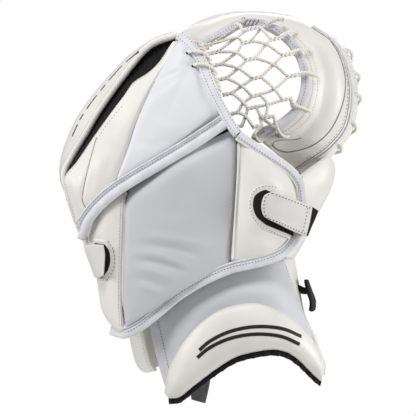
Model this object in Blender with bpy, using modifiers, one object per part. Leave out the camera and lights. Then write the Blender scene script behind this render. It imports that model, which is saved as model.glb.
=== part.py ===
"""A left-hand goalie catch glove, seen from behind at -Y, with its fingers up (+Z).

The pocket opens towards +Y and the thumb is at +X. The origin is the middle of the arm opening.
Shapes are written in millimetres and scaled once, where a mesh or a curve is made.
"""

import math

import bmesh
import bpy
from mathutils import Matrix, Vector

MM = 0.001

# Driving dimensions, in millimetres and degrees.
PALM_FRONT = 2.0          # the hand's side of the catching palm
PALM_THICK = 14.0
PALM_FACE = PALM_FRONT + PALM_THICK
PAD_THICK = 13.0          # the back pads
SKIN = 2.0                # linings and loops
WALL = 8.0                # the perimeter walls and the web band
RIM_DEPTH = 74.0          # how far the pocket's rim stands behind the hand
BINDING_R = 4.2
ROLL_R = 6.0
LACE = 3.6
SEAM = 0.8                # clearance between neighbours that are sewn together
CLOSE_GAP = 1.2           # clearance at the closing line

# Joint axes: two points each.
CLOSE_LOW = Vector((-30.0, PALM_FACE, 78.0))
CLOSE_HIGH = Vector((58.0, PALM_FACE, 380.0))
LIFT_AT = Vector((-75.0, -50.0, 232.0))
FLEX_AT = Vector((-30.0, -8.0, 108.0))
RIGHT_STRAP_AT = Vector((72.0, -42.0, 164.0))
LEFT_STRAP_AT = Vector((-166.0, -45.0, 120.0))
WRIST_TAB_AT = Vector((69.0, -4.0, 82.0))
PULL_AT = Vector((-44.0, -29.0, 1.0))

BODIES = {}


def clear_scene():
    for item in list(bpy.data.objects):
        bpy.data.objects.remove(item, do_unlink=True)


def collection(name):
    made = bpy.data.collections.new(name)
    bpy.context.scene.collection.children.link(made)
    return made


def material(name, colour, roughness, metallic=0.0):
    made = bpy.data.materials.new(name)
    made.use_nodes = True
    shader = made.node_tree.nodes["Principled BSDF"]
    shader.inputs["Base Color"].default_value = (*colour, 1.0)
    shader.inputs["Roughness"].default_value = roughness
    shader.inputs["Metallic"].default_value = metallic
    return made


clear_scene()
GLOVE = collection("goalie_catch_glove")
CREAM = material("cream_leather", (0.80, 0.78, 0.72), 0.45)
GREY = material("grey_fabric", (0.70, 0.71, 0.74), 0.65)
BIND = material("bias_binding", (0.62, 0.62, 0.68), 0.75)
BLACK = material("black_lining", (0.012, 0.012, 0.013), 0.85)
LACES = material("beige_lace", (0.66, 0.61, 0.53), 0.80)
WEBBING = material("dark_webbing", (0.06, 0.06, 0.065), 0.80)
TAB = material("strap_leather", (0.68, 0.66, 0.63), 0.50)


def body_empty(name, at):
    """A parent for everything that moves together, standing on its joint's axis."""
    empty = bpy.data.objects.new(f"{name}_joint", None)
    empty.location = at * MM
    GLOVE.objects.link(empty)
    BODIES[name] = empty


def place(item, body, finish):
    GLOVE.objects.link(item)
    item.data.materials.append(finish)
    if body != "hand":
        item.parent = BODIES[body]
        item.matrix_parent_inverse.translation = -BODIES[body].location
    return item


def curve_through(points, count):
    """count points, evenly spread in the knots' order, on a Catmull-Rom curve through points."""
    knots = [Vector(point) for point in points]
    padded = [2 * knots[0] - knots[1], *knots, 2 * knots[-1] - knots[-2]]
    made = []
    for i in range(count):
        place_on = i / (count - 1) * (len(knots) - 1)
        made.append(curve_at(padded, place_on))
    return made


def curve_at(padded, place_on):
    span = min(int(place_on), len(padded) - 4)
    t = place_on - span
    a, b, c, d = padded[span:span + 4]
    return 0.5 * (2 * b + (c - a) * t + (2 * a - 5 * b + 4 * c - d) * t ** 2
                  + (3 * b - a - 3 * c + d) * t ** 3)


def at_depth(flat, depths):
    """Gives a flat outline (x, z) its depths: one for each point, or the first and the last."""
    last = len(flat) - 1
    if len(depths) == len(flat):
        return [(x, y, z) for (x, z), y in zip(flat, depths)]
    near, far = depths
    return [(x, near + (far - near) * i / last, z) for i, (x, z) in enumerate(flat)]


def sheet(rows, across, along):
    """An open quad sheet through curves that lie side by side; rows are lists of points."""
    tracks = [curve_through(row, along + 1) for row in rows]
    mesh = bmesh.new()
    bmesh.ops.create_grid(mesh, x_segments=across, y_segments=along, size=0.5)
    for vert in mesh.verts:
        u = (vert.co.x + 0.5) * across
        v = round((vert.co.y + 0.5) * along)
        cross = [track[v] for track in tracks]
        if len(cross) == 2:
            vert.co = cross[0].lerp(cross[1], u / across)
        else:
            ends = [2 * cross[0] - cross[1], *cross, 2 * cross[-1] - cross[-2]]
            vert.co = curve_at(ends, u / across * (len(cross) - 1))
    return mesh


def finish_mesh(mesh, name):
    bmesh.ops.scale(mesh, vec=(MM, MM, MM), verts=mesh.verts)
    bmesh.ops.recalc_face_normals(mesh, faces=mesh.faces)
    if mesh.calc_volume(signed=True) < 0:
        bmesh.ops.reverse_faces(mesh, faces=mesh.faces)
    data = bpy.data.meshes.new(name)
    mesh.to_mesh(data)
    mesh.free()
    data.shade_smooth()
    return bpy.data.objects.new(name, data)


def pad(name, body, finish, left, right, crown=0.0, thick=PAD_THICK, across=5, along=8):
    """A crowned pad between two edges. Its back lies straight behind its front."""
    mesh = sheet([left, right], across, along)
    for i, vert in enumerate(mesh.verts):
        u = (i % (across + 1)) / across
        v = (i // (across + 1)) / along
        vert.co.y -= crown * math.sqrt(math.sin(math.pi * u) * math.sin(math.pi * v) + 1e-9)
    thicken = bmesh.ops.extrude_face_region(mesh, geom=mesh.faces[:], use_keep_orig=True)
    back = [item for item in thicken["geom"] if isinstance(item, bmesh.types.BMVert)]
    bmesh.ops.translate(mesh, verts=back, vec=(0.0, thick, 0.0))
    return place(finish_mesh(mesh, name), body, finish)


def wall(name, body, finish, rows, thick=WALL, across=5, along=14, keep=None):
    """A curved wall of even thickness through curves that lie side by side."""
    mesh = sheet(rows, across, along)
    if keep:
        point, normal = keep
        whole = mesh.verts[:] + mesh.edges[:] + mesh.faces[:]
        bmesh.ops.bisect_plane(mesh, geom=whole, dist=0.01, plane_co=point, plane_no=normal,
                               clear_outer=True)
    item = place(finish_mesh(mesh, name), body, finish)
    solid = item.modifiers.new("thickness", "SOLIDIFY")
    solid.thickness = thick * MM
    solid.offset = 0.0
    solid.use_even_offset = True
    return item


def tube(name, body, finish, points, radius, count=14, sides=2):
    """A round binding, roll or lace along a smooth route."""
    data = bpy.data.curves.new(name, "CURVE")
    data.dimensions = "3D"
    data.bevel_depth = radius * MM
    data.bevel_resolution = sides
    data.use_fill_caps = True
    line = data.splines.new("POLY")
    line.points.add(count - 1)
    for point, where in zip(line.points, curve_through(points, count)):
        point.co = (*(where * MM), 1.0)
    item = bpy.data.objects.new(name, data)
    return place(item, body, finish)


# Outlines shared by neighbours, as (x, z).
GAP_OUTER = [(-68, 362), (-95, 352), (-117, 328), (-149, 283), (-167, 253), (-181, 231),
             (-190, 213), (-186, 192), (-178, 167), (-168, 144), (-152, 115)]
SILHOUETTE = [(-72, 364), (-108, 348), (-130, 331), (-167, 288), (-185, 256), (-194, 229),
              (-194, 207), (-184, 184), (-177, 160), (-167, 137), (-153, 108)]
GAP_INNER = [(-79, 357), (-92, 338), (-111, 316), (-138, 283), (-157, 257), (-175, 230),
             (-185, 212), (-186, 198), (-181, 184)]
GUARD_SEAM = [(-75, 356), (-88, 331), (-108, 300), (-132, 266), (-150, 238), (-160, 220),
              (-165, 208), (-167, 199), (-168, 192)]
FLAP_LEFT = [(-70, 356), (-83, 335), (-98, 306), (-113, 272), (-123, 240), (-131, 225),
             (-137, 215)]
FLAP_RIGHT = [(-63, 354), (-52, 337), (-42, 312), (-31, 291), (-28, 285), (-26, 280),
              (-24, 276)]
ROLL_LINE = [(-174, 145), (-168, 161), (-157, 176), (-141, 191), (-122, 204), (-90, 223),
             (-57, 243), (-24, 265)]
NET_LEFT = [(0, 268), (-9, 284), (-27, 311), (-44, 341)]
BAND_INNER = [(-53, 349), (-24, 365), (-1, 377), (24, 374), (46, 360), (59, 338), (64, 315),
              (60, 294), (51, 279), (35, 267), (18, 260), (12, 254)]
BAND_OUTER = [(-66, 367), (-41, 377), (-3, 387), (40, 385), (78, 375), (105, 356), (119, 326),
              (122, 296), (116, 264), (98, 241), (76, 225), (60, 215)]
BAND_FOLD = [(-60, 357), (-34, 372), (-2, 384), (35, 382), (66, 371), (91, 349), (102, 323),
             (104, 295), (96, 271), (78, 253), (54, 243), (36, 236)]


def shifted(flat, dx, dz=0.0):
    return [(x + dx, z + dz) for x, z in flat]


def line_normal():
    """Across the closing line, level with the palm, towards the thumb."""
    along = CLOSE_HIGH - CLOSE_LOW
    return Vector((along.z, 0.0, -along.x)).normalized()


def on_closing_line(z, side):
    along = CLOSE_HIGH - CLOSE_LOW
    x = CLOSE_LOW.x + (z - CLOSE_LOW.z) * along.x / along.z
    return (x + side * CLOSE_GAP, z)


def make_palm():
    slab_left = [(-141, 104), (-152, 137), (-163, 164), (-172, 191), (-174, 216), (-157, 252),
                 (-131, 291), (-101, 325), (-72, 348)]
    slab_right = [on_closing_line(z, -1) for z in (104, 140, 185, 226)]
    slab_right += [(4, 247), (-14, 279), (-32, 311), (-50, 342)]
    depth = (PALM_FRONT, PALM_FRONT)
    pad("palm", "hand", CREAM, at_depth(slab_left, depth), at_depth(slab_right, depth),
        thick=PALM_THICK, across=4, along=12)
    liner_depth = (PALM_FRONT - SKIN - SEAM, PALM_FRONT - SKIN - SEAM)
    pad("palm_lining", "hand", BLACK, at_depth(slab_left, liner_depth),
        at_depth(shifted(slab_right, -3), liner_depth), thick=SKIN, across=2, along=12)
    for i, (x, z) in enumerate([(-62, 262), (-84, 258), (-106, 250), (-127, 238)]):
        loop = [(x - 8, -4, z), (x - 8, -15, z), (x, -22, z), (x + 8, -15, z), (x + 8, -4, z)]
        top = [(a, b, c + 26) for a, b, c in loop]
        wall(f"finger_loop_{i + 1}", "hand", BLACK, [loop, top], thick=SKIN, across=1, along=8)


def make_finger_perimeter():
    rim = shifted(SILHOUETTE, 5)
    wall("finger_perimeter", "hand", CREAM,
         [at_depth(shifted(GAP_OUTER, -3, 2), (-16, -8)), at_depth(SILHOUETTE, (20, 30)),
          at_depth(rim, (54, RIM_DEPTH - 8))], across=6, along=16)
    tube("finger_rim", "hand", CREAM, at_depth(shifted(rim, 2), (64, RIM_DEPTH + 2)), 7.0, 16)


def make_finger_guard():
    outer = [-22, -30, -35, -38, -39, -39, -36, -34, -33]
    seam = [-26, -36, -44, -48, -50, -51, -50, -49, -48]
    pad("finger_guard_outer", "hand", CREAM, at_depth(GAP_INNER, outer),
        at_depth(shifted(GUARD_SEAM, -SEAM), seam), crown=2, thick=11, across=3, along=10)
    inner = [-28, -39, -47, -53, -56, -58, -59]
    pad("finger_guard_inner", "hand", CREAM, at_depth(shifted(GUARD_SEAM, SEAM), seam),
        at_depth(shifted(FLAP_LEFT, -SEAM), inner), crown=2, thick=12, across=4, along=10)


def make_upper_pad():
    left = [-30, -40, -48, -54, -57, -59, -60]
    right = [-30, -38, -46, -53, -55, -56, -57]
    pad("upper_back_pad", "hand", GREY, at_depth(FLAP_LEFT, left),
        at_depth(FLAP_RIGHT, right), crown=4, across=6, along=10)
    tube("upper_pad_roll", "hand", BIND,
         at_depth(ROLL_LINE, [-40, -44, -48, -52, -55, -58, -58, -55]), ROLL_R, 12)
    edge = [(-64, 361), (-54, 350), (-43, 328), (-31, 302), (-20, 281), (-11, 266)]
    tube("index_edge_binding", "hand", BIND,
         at_depth(edge, [-24, -28, -38, -43, -45, -45]), BINDING_R, 10)


def make_thumb():
    left = [on_closing_line(z, 1) for z in (104, 146, 188, 229)]
    right = [(32, 104), (44, 142), (60, 178), (70, 212)]
    depth = (PALM_FRONT, PALM_FRONT)
    pad("thumb_palm", "thumb", CREAM, at_depth(left, depth), at_depth(right, depth),
        thick=PALM_THICK, across=4, along=6)
    depth = (PALM_FRONT - SKIN - SEAM, PALM_FRONT - SKIN - SEAM)
    pad("thumb_lining", "thumb", BLACK, at_depth(shifted(left, 3), depth),
        at_depth(right, depth), thick=SKIN, across=2, along=6)
    front = [(40, 130), (50, 150), (61, 177), (68, 205), (70, 222)]
    outside = [(54, 124), (69, 148), (82, 180), (93, 207), (93, 226)]
    rim = [(52, 124), (66, 148), (78, 178), (86, 200), (86, 212)]
    wall("thumb_panel", "thumb", CREAM,
         [at_depth(front, (-22, -20)), at_depth(shifted(outside, -5), (4, 6)),
          at_depth(outside, (36, 40)), at_depth(rim, (62, 62))], across=6, along=8)
    tube("thumb_rim", "thumb", CREAM, at_depth(rim, (73.5, 73.5)), 7.0, 8)
    loop = [(14, -4, 150), (13, -16, 152), (24, -24, 148), (37, -17, 146), (36, -4, 146)]
    top = [(a + 6, b, c + 28) for a, b, c in loop]
    wall("thumb_loop", "thumb", BLACK, [loop, top], thick=SKIN, across=1, along=8)


def band_rows():
    inner = at_depth(BAND_INNER, (-2, -2))
    fold = at_depth(BAND_FOLD, (24, 24))
    outer = at_depth(BAND_OUTER, (58, 58))
    rim = at_depth([(x * 0.97 + 1, z * 0.985 + 5) for x, z in BAND_OUTER], (78, 78))
    return [inner, fold, outer, rim]


def web_cut(side):
    """The plane that ends one half of the web, leaning away from the closing line."""
    lean = math.radians(side * 14.0)
    across = line_normal()
    normal = across * math.cos(lean) - Vector((0, math.sin(lean), 0))
    point = CLOSE_LOW + across * side * CLOSE_GAP
    point.y = -2.0 - WALL
    return point, -side * normal


def make_web(body, first, last, side):
    """One half of the horseshoe band, its net-edge binding and its rim."""
    rows = [row[first:last] for row in band_rows()]
    half = "finger" if side < 0 else "thumb"
    wall(f"web_band_{half}", body, CREAM, rows, across=6, along=12 if side < 0 else 18,
         keep=web_cut(side))
    edge = BAND_INNER[:5] + [(50, 355)] if side < 0 else [(55, 348)] + BAND_INNER[5:]
    tube(f"web_binding_{half}", body, BIND, at_depth(edge, (-9, -9)), BINDING_R, 10)


def make_net(body, side):
    """Half of the lace net: a diamond lattice between the index edge and the band."""
    half = "finger" if side < 0 else "thumb"
    cells = 9
    left = curve_through(at_depth(shifted(NET_LEFT, 5), (-8, -12)), 41)
    arc = [(x, z) for x, z in BAND_INNER[::-1]]
    right = curve_through(at_depth([(x * 0.86 + 0.7, z * 0.86 + 44) for x, z in arc],
                                   (-8, -8)), 41)
    mesh = bmesh.new()
    bmesh.ops.create_grid(mesh, x_segments=cells, y_segments=cells, size=1.0)
    bmesh.ops.rotate(mesh, verts=mesh.verts, cent=(0, 0, 0),
                     matrix=Matrix.Rotation(math.radians(45), 3, "Z"))
    for at, out in (((-0.5, 0, 0), (-1, 0, 0)), ((0.5, 0, 0), (1, 0, 0)),
                    ((0, -0.5, 0), (0, -1, 0)), ((0, 0.5, 0), (0, 1, 0))):
        whole = mesh.verts[:] + mesh.edges[:] + mesh.faces[:]
        bmesh.ops.bisect_plane(mesh, geom=whole, dist=0.02, plane_co=at, plane_no=out,
                               clear_outer=True)
    for vert in mesh.verts:
        u, v = vert.co.x + 0.5, vert.co.y + 0.5
        step = min(int(v * 40), 39)
        share = v * 40 - step
        start = left[step].lerp(left[step + 1], share)
        end = right[step].lerp(right[step + 1], share)
        vert.co = start.lerp(end, u)
        vert.co.y -= 8 * math.sin(math.pi * min(max(u, 0), 1))
    across = line_normal()
    whole = mesh.verts[:] + mesh.edges[:] + mesh.faces[:]
    bmesh.ops.bisect_plane(mesh, geom=whole, dist=0.5, plane_co=CLOSE_LOW + across * side * 3,
                           plane_no=-side * across, clear_outer=True)
    item = place(finish_mesh(mesh, f"net_{half}"), body, LACES)
    lattice = item.modifiers.new("strands", "WIREFRAME")
    lattice.thickness = LACE * MM
    lattice.use_boundary = True
    lattice.use_replace = True
    lattice.use_even_offset = False


def make_lower_pad():
    left_edge = [(-163, 134), (-160, 116), (-155, 94), (-150, 70), (-140, 53)]
    pad("lower_pad_left", "back_pad", CREAM, at_depth(left_edge, (-38, -44)),
        at_depth([(-129, 186), (-130, 143), (-132, 89), (-131, 56)], (-52, -56)), crown=3,
        across=4, along=6)
    pad("lower_pad_centre", "back_pad", GREY,
        at_depth([(-125, 188), (-129, 143), (-131, 89), (-127, 56)], (-52, -56)),
        at_depth([(-8, 254), (-9, 207), (-13, 164), (-16, 121)], (-54, -58)), crown=8,
        across=6, along=8)
    pad("lower_pad_wing", "back_pad", CREAM,
        at_depth([(-5, 245), (-8, 207), (-11, 164), (-14, 122)], (-54, -58)),
        at_depth([(0, 243), (56, 202), (61, 170), (40, 128)], (-50, -40)), crown=4,
        across=5, along=8)
    wing = [(3, 249), (24, 237), (45, 222), (60, 209), (67, 193), (68, 177), (65, 148),
            (56, 134), (44, 124)]
    tube("wing_binding", "back_pad", BIND,
         at_depth(wing, [-46, -42, -38, -34, -32, -32, -36, -42, -48]), BINDING_R, 14)
    bottom = [(36, 121), (13, 118), (-14, 113), (-41, 99), (-68, 83), (-90, 67), (-109, 50),
              (-127, 41), (-143, 43)]
    tube("bottom_binding", "back_pad", BIND,
         at_depth(bottom, [-50, -52, -54, -55, -55, -54, -52, -47, -40]), BINDING_R + 0.8, 14)


def make_straps():
    patch_left = [(14, 190), (9, 180), (10, 168), (20, 158)]
    patch_right = [(40, 186), (44, 178), (46, 164), (44, 152)]
    pad("right_loop_patch", "back_pad", BLACK, at_depth(patch_left, (-62.5, -62.5)),
        at_depth(patch_right, (-55, -55)), thick=SKIN, across=2, along=4)
    pad("right_strap_tab", "right_strap", TAB,
        at_depth([(27, 195), (20, 187), (19, 175), (25, 163)], (-70, -70)),
        at_depth([(71, 179), (70, 170), (69, 161), (67, 148)], (-51, -51)), crown=0.0,
        thick=4.0, across=6, along=5)
    tube("right_strap_webbing", "right_strap", BLACK,
         at_depth([(74, 180), (73, 170), (72, 160), (70, 148)], (-42, -42)), 2.4, 5)
    pad("left_loop_patch", "back_pad", BLACK,
        at_depth([(-156, 131), (-155, 121), (-153, 111)], (-47, -48)),
        at_depth([(-146, 132), (-144, 121), (-147, 108)], (-52.5, -53)), thick=SKIN, across=2,
        along=3)
    pad("left_strap_tab", "left_strap", TAB,
        at_depth([(-171, 137), (-166, 121), (-158, 103)], (-46, -48)),
        at_depth([(-151, 139), (-149, 121), (-151, 105)], (-62, -62)), thick=4.0, across=3,
        along=4)


def make_cuff():
    wall("wrist_guard", "cuff", GREY,
         [[(-103, -20, 74), (-100, -20, 50), (-93, -20, 14), (-86, -22, -11), (-81, -22, -22)],
          [(-72, -33, 98), (-70, -40, 62), (-62, -42, 32), (-54, -42, 12), (-48, -42, -4)],
          [(-28, -34, 118), (-24, -46, 80), (-14, -50, 56), (-4, -51, 38), (2, -51, 26)],
          [(18, -30, 116), (26, -42, 86), (38, -45, 62), (44, -46, 42), (46, -45, 28)],
          [(42, -16, 104), (53, -16, 88), (60, -16, 68), (77, -16, 36), (80, -16, -2)]],
         thick=6, across=8, along=6)
    board_left = [(-117, 78), (-117, 30), (-108, 10), (-98, 6)]
    board_right = [(48, 84), (56, 66), (60, 50), (62, 30)]
    pad("cuff_board", "cuff", CREAM, at_depth(board_left, (24, 24)),
        at_depth(board_right, (24, 24)), thick=6, across=2, along=3)
    wall("cuff_left_side", "cuff", CREAM,
         [at_depth([(-109, 76), (-107, 50), (-101, 16), (-94, 2)], (-14, -18)),
          at_depth([(-119, 77), (-119, 40), (-112, 12), (-102, 0)], (2, 2)),
          at_depth([(-121, 77), (-121, 40), (-114, 8), (-104, -1)], (22, 22))],
         thick=5, across=4, along=5)
    wall("cuff_right_side", "cuff", CREAM,
         [at_depth([(52, 100), (58, 86), (67, 62), (84, 36), (90, 10)], (-14, -16)),
          at_depth([(56, 92), (61, 78), (68, 58), (80, 34), (84, 12)], (6, 2)),
          at_depth([(55, 90), (61, 72), (66, 52), (69, 30)], (27, 27))],
         thick=5, across=4, along=5)


def make_crescent():
    top = [(-84, -20), (-79, 6), (-66, 31), (-49, 52), (-27, 68), (-3, 75), (16, 75), (40, 66),
           (59, 51), (76, 31), (86, 11), (86, 0)]
    arch = [(-80, -26), (-68, -24), (-52, -11), (-30, 6), (-9, 19), (13, 25), (31, 27),
            (45, 24), (57, 16), (67, 6), (76, -3), (82, -8)]
    depth = [-42, -50, -58, -64, -67, -69, -68, -64, -58, -49, -40, -34]
    pad("crescent_pad", "cuff", CREAM, at_depth(top, depth), at_depth(arch, depth), crown=8,
        thick=10, across=5, along=14)
    ridge = [(-56, -53, 58), (-30, -54.5, 75), (-4, -54.5, 83), (18, -54, 82), (36, -48.5, 75)]
    tube("cuff_ridge", "cuff", GREY, ridge, 3.0, 9)
    deep = [y + 6 for y in depth]
    pad("cuff_lining", "cuff", BLACK, at_depth([(x, z - 7) for x, z in arch], deep),
        at_depth([(x, z - 3.2) for x, z in arch], deep), thick=4, across=1, along=14)


def make_wrist_strap():
    wall("wrist_strap", "cuff", BLACK,
         [[(-60, 12, 62), (-20, 14, 68), (20, 14, 74), (46, 10, 78)],
          [(-60, 12, 84), (-20, 14, 90), (20, 14, 96), (44, 10, 98)]], thick=SKIN, across=1,
         along=6)
    wall("wrist_tab", "wrist_tab", BLACK,
         [[(66, -4, 97), (69, 0, 97), (71, 12, 96), (69, 24, 94)],
          [(72, -4, 66), (75, 0, 66), (77, 12, 68), (75, 24, 70)]], thick=SKIN, across=3,
         along=5)
    wall("pull_tail", "pull_tail", WEBBING,
         [[(-54, -29, -2), (-57, -29, -18), (-56, -29, -28)],
          [(-34, -29, 4), (-37, -29, -14), (-41, -29, -32)]], thick=SKIN, across=2, along=4)


def make_glove():
    body_empty("thumb", CLOSE_LOW)
    body_empty("back_pad", LIFT_AT)
    body_empty("cuff", FLEX_AT)
    body_empty("right_strap", RIGHT_STRAP_AT)
    body_empty("left_strap", LEFT_STRAP_AT)
    body_empty("wrist_tab", WRIST_TAB_AT)
    body_empty("pull_tail", PULL_AT)
    bpy.context.view_layer.update()
    make_palm()
    make_finger_perimeter()
    make_finger_guard()
    make_upper_pad()
    make_thumb()
    make_web("hand", 0, 6, -1)
    make_web("thumb", 3, 12, 1)
    make_net("hand", -1)
    make_net("thumb", 1)
    make_lower_pad()
    make_straps()
    make_cuff()
    make_crescent()
    make_wrist_strap()


make_glove()
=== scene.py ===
# %% [markdown]
# # A goalie catch glove, dressed for its portrait
# The CAD model already holds every part, its size and its joints. This notebook loads it as a
# fixed frame and sews the real-looking glove over it: leather, coated fabric, tape, lace and
# thread. Lengths are written in millimetres, as on a pattern, and turned into metres where points
# are made.

# %% Load the frame
import math

import bmesh
import bpy
import numpy as np
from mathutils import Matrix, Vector
from mathutils.bvhtree import BVHTree


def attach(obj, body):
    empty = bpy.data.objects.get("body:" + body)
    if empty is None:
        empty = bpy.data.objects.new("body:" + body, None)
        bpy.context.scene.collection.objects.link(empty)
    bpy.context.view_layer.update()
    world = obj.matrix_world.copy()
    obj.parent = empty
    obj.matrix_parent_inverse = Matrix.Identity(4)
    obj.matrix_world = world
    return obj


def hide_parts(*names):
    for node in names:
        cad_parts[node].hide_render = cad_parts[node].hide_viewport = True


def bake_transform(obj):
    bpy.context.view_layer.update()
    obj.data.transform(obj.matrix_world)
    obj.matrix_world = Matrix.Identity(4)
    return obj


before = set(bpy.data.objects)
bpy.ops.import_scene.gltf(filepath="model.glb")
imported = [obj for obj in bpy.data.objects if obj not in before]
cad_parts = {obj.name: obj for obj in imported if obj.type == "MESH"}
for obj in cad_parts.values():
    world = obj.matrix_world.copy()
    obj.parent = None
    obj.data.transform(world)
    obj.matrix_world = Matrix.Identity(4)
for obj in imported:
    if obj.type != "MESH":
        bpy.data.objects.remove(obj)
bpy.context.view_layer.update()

MM = 0.001

# %% [markdown]
# ## Camera
# The glove hangs upright and we look level at the back of the hand, from far away with a long
# lens, so that nothing is foreshortened. The picture is as wide as it is high.

# %% Camera
VIEW_MIDDLE = Vector((-38.3, 0.0, 177.0)) * MM
VIEW_WIDTH = 449.0 * MM
CAMERA_AWAY = 3.2
SENSOR_WIDTH = 36.0

camera_data = bpy.data.cameras.new("camera")
camera_data.sensor_width = SENSOR_WIDTH
camera_data.lens = SENSOR_WIDTH * CAMERA_AWAY / VIEW_WIDTH
camera = bpy.data.objects.new("camera", camera_data)
camera.location = VIEW_MIDDLE + Vector((0.0, -CAMERA_AWAY, 0.0))
camera.rotation_euler = (math.radians(90), 0.0, 0.0)
bpy.context.scene.collection.objects.link(camera)
bpy.context.scene.camera = camera
print(f"lens {camera_data.lens:.0f} mm from {CAMERA_AWAY} m")

# %% [markdown]
# ## Light and floor
# White goods need soft light with a direction, or they turn flat. One round lamp hangs above and
# in front, one stands on each side, one lights the glove from behind, and a dim world lifts the
# shadows. The camera sees the same world as white. The floor is a plain pale sheet well below.

# %% Light and floor


def lamp(name, place, aim, size, power):
    """A round area lamp at a place, turned to its aim. Metres and watts."""
    data = bpy.data.lights.new(name, "AREA")
    data.shape = "DISK"
    data.size = size
    data.energy = power
    item = bpy.data.objects.new(name, data)
    item.location = place
    item.rotation_euler = (Vector(aim) - Vector(place)).to_track_quat("-Z", "Y").to_euler()
    bpy.context.scene.collection.objects.link(item)


LAMPS = [("top_lamp", (-0.35, -0.95, 1.5), (0.0, 0.0, 0.2), 0.6, 14.5),
    ("right_lamp", (1.75, -0.35, 0.2), (0.0, 0.0, 0.15), 0.7, 18.5),
    ("left_lamp", (-1.7, -0.75, 0.65), (0.0, 0.0, 0.22), 0.8, 13.0),
    ("back_lamp", (0.3, 1.5, 0.9), (0.0, 0.0, 0.2), 1.2, 10.0)]
for name, place, aim, size, power in LAMPS:
    lamp(name, place, aim, size, power)

BACKDROP_WHITE = 1.0
FILL_LIGHT = 0.27
FLOOR_Z = -0.55
FLOOR_HALF = 6.5
FLOOR_COLOUR = (0.86, 0.86, 0.85, 1.0)
world = bpy.data.worlds.new("studio")
world.use_nodes = True
nodes = world.node_tree.nodes
path_kind = nodes.new("ShaderNodeLightPath")
strength = nodes.new("ShaderNodeMapRange")
strength.inputs["To Min"].default_value = FILL_LIGHT
strength.inputs["To Max"].default_value = BACKDROP_WHITE
world.node_tree.links.new(path_kind.outputs["Is Camera Ray"], strength.inputs["Value"])
world.node_tree.links.new(strength.outputs["Result"], nodes["Background"].inputs["Strength"])
nodes["Background"].inputs["Color"].default_value = (1.0, 1.0, 1.0, 1.0)
bpy.context.scene.world = world
bpy.context.scene.view_settings.view_transform = "Standard"

floor_mesh = bpy.data.meshes.new("floor")
floor_mesh.from_pydata([(x * FLOOR_HALF, y * FLOOR_HALF, FLOOR_Z)
        for x, y in ((-1, -1), (1, -1), (1, 1), (-1, 1))], [], [(0, 1, 2, 3)])
floor = bpy.data.objects.new("floor", floor_mesh)
bpy.context.scene.collection.objects.link(floor)
floor_paint = bpy.data.materials.new("pale_floor")
floor_paint.use_nodes = True
floor_shader = floor_paint.node_tree.nodes["Principled BSDF"]
floor_shader.inputs["Base Color"].default_value = FLOOR_COLOUR
floor_shader.inputs["Roughness"].default_value = 0.9
floor_mesh.materials.append(floor_paint)

# %% [markdown]
# ## Materials
# Every finish is a small node network on Object or UV coordinates, so it stays with its piece.
# `new_material` starts a Principled material. `noise`, `waves`, `paint` and `bump` add what several
# finishes share. Numbers that are the same all over sit on the shader's own sockets. Pattern
# scales are per metre, and bump depths are in metres.

# %% Material helpers


def new_material(name, roughness, sheen=0.0, coat=0.0, specular=0.4):
    """Starts a material. Gives it, its node tree, its shader and its texture coordinates."""
    made = bpy.data.materials.new(name)
    made.use_nodes = True
    tree = made.node_tree
    shader = tree.nodes["Principled BSDF"]
    for socket, value in (("Roughness", roughness), ("Sheen Weight", sheen), ("Coat Weight", coat),
            ("Coat Roughness", 0.35), ("Specular IOR Level", specular)):
        shader.inputs[socket].default_value = value
    return made, tree, shader, tree.nodes.new("ShaderNodeTexCoord").outputs


def add(tree, kind, **sockets):
    """A new node with values in its sockets; an underscore stands for a space in their names."""
    node = tree.nodes.new(kind)
    for name, value in sockets.items():
        node.inputs[name.replace("_", " ")].default_value = value
    return node


def noise(tree, coords, scale, detail=4.0, roughness=0.55):
    node = add(tree, "ShaderNodeTexNoise", Scale=scale, Detail=detail, Roughness=roughness)
    tree.links.new(coords, node.inputs["Vector"])
    return node.outputs["Fac"]


def scaled(share, colour):
    """A darker colour for a share below 1, a lighter one above."""
    return tuple(share * c for c in colour)


def paint(tree, shader, pattern, dark, light, low=0.35, high=0.65):
    """Colours the shader by a 0-to-1 pattern, from dark at low to light at high."""
    ramp = tree.nodes.new("ShaderNodeValToRGB")
    stops = zip(ramp.color_ramp.elements, (low, high), (dark, light))
    for stop, position, colour in stops:
        stop.position = position
        stop.color = (*colour, 1.0)
    tree.links.new(pattern, ramp.inputs["Fac"])
    tree.links.new(ramp.outputs["Color"], shader.inputs["Base Color"])


def bump(tree, shader, layers):
    """Stacks bump layers: each is (height pattern, strength, depth in metres)."""
    normal = None
    for height, strength, depth in layers:
        node = add(tree, "ShaderNodeBump", Strength=strength, Distance=depth)
        tree.links.new(height, node.inputs["Height"])
        if normal:
            tree.links.new(normal, node.inputs["Normal"])
        normal = node.outputs["Normal"]
    tree.links.new(normal, shader.inputs["Normal"])


def waves(tree, coords, scale, direction):
    node = add(tree, "ShaderNodeTexWave", Scale=scale)
    node.bands_direction = direction
    tree.links.new(coords, node.inputs["Vector"])
    return node.outputs["Fac"]


def join(tree, kind, a, b):
    node = tree.nodes.new("ShaderNodeMath")
    node.operation = kind
    tree.links.new(a, node.inputs[0])
    tree.links.new(b, node.inputs[1])
    return node.outputs[0]


# %% Leather and coated fabric


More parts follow.
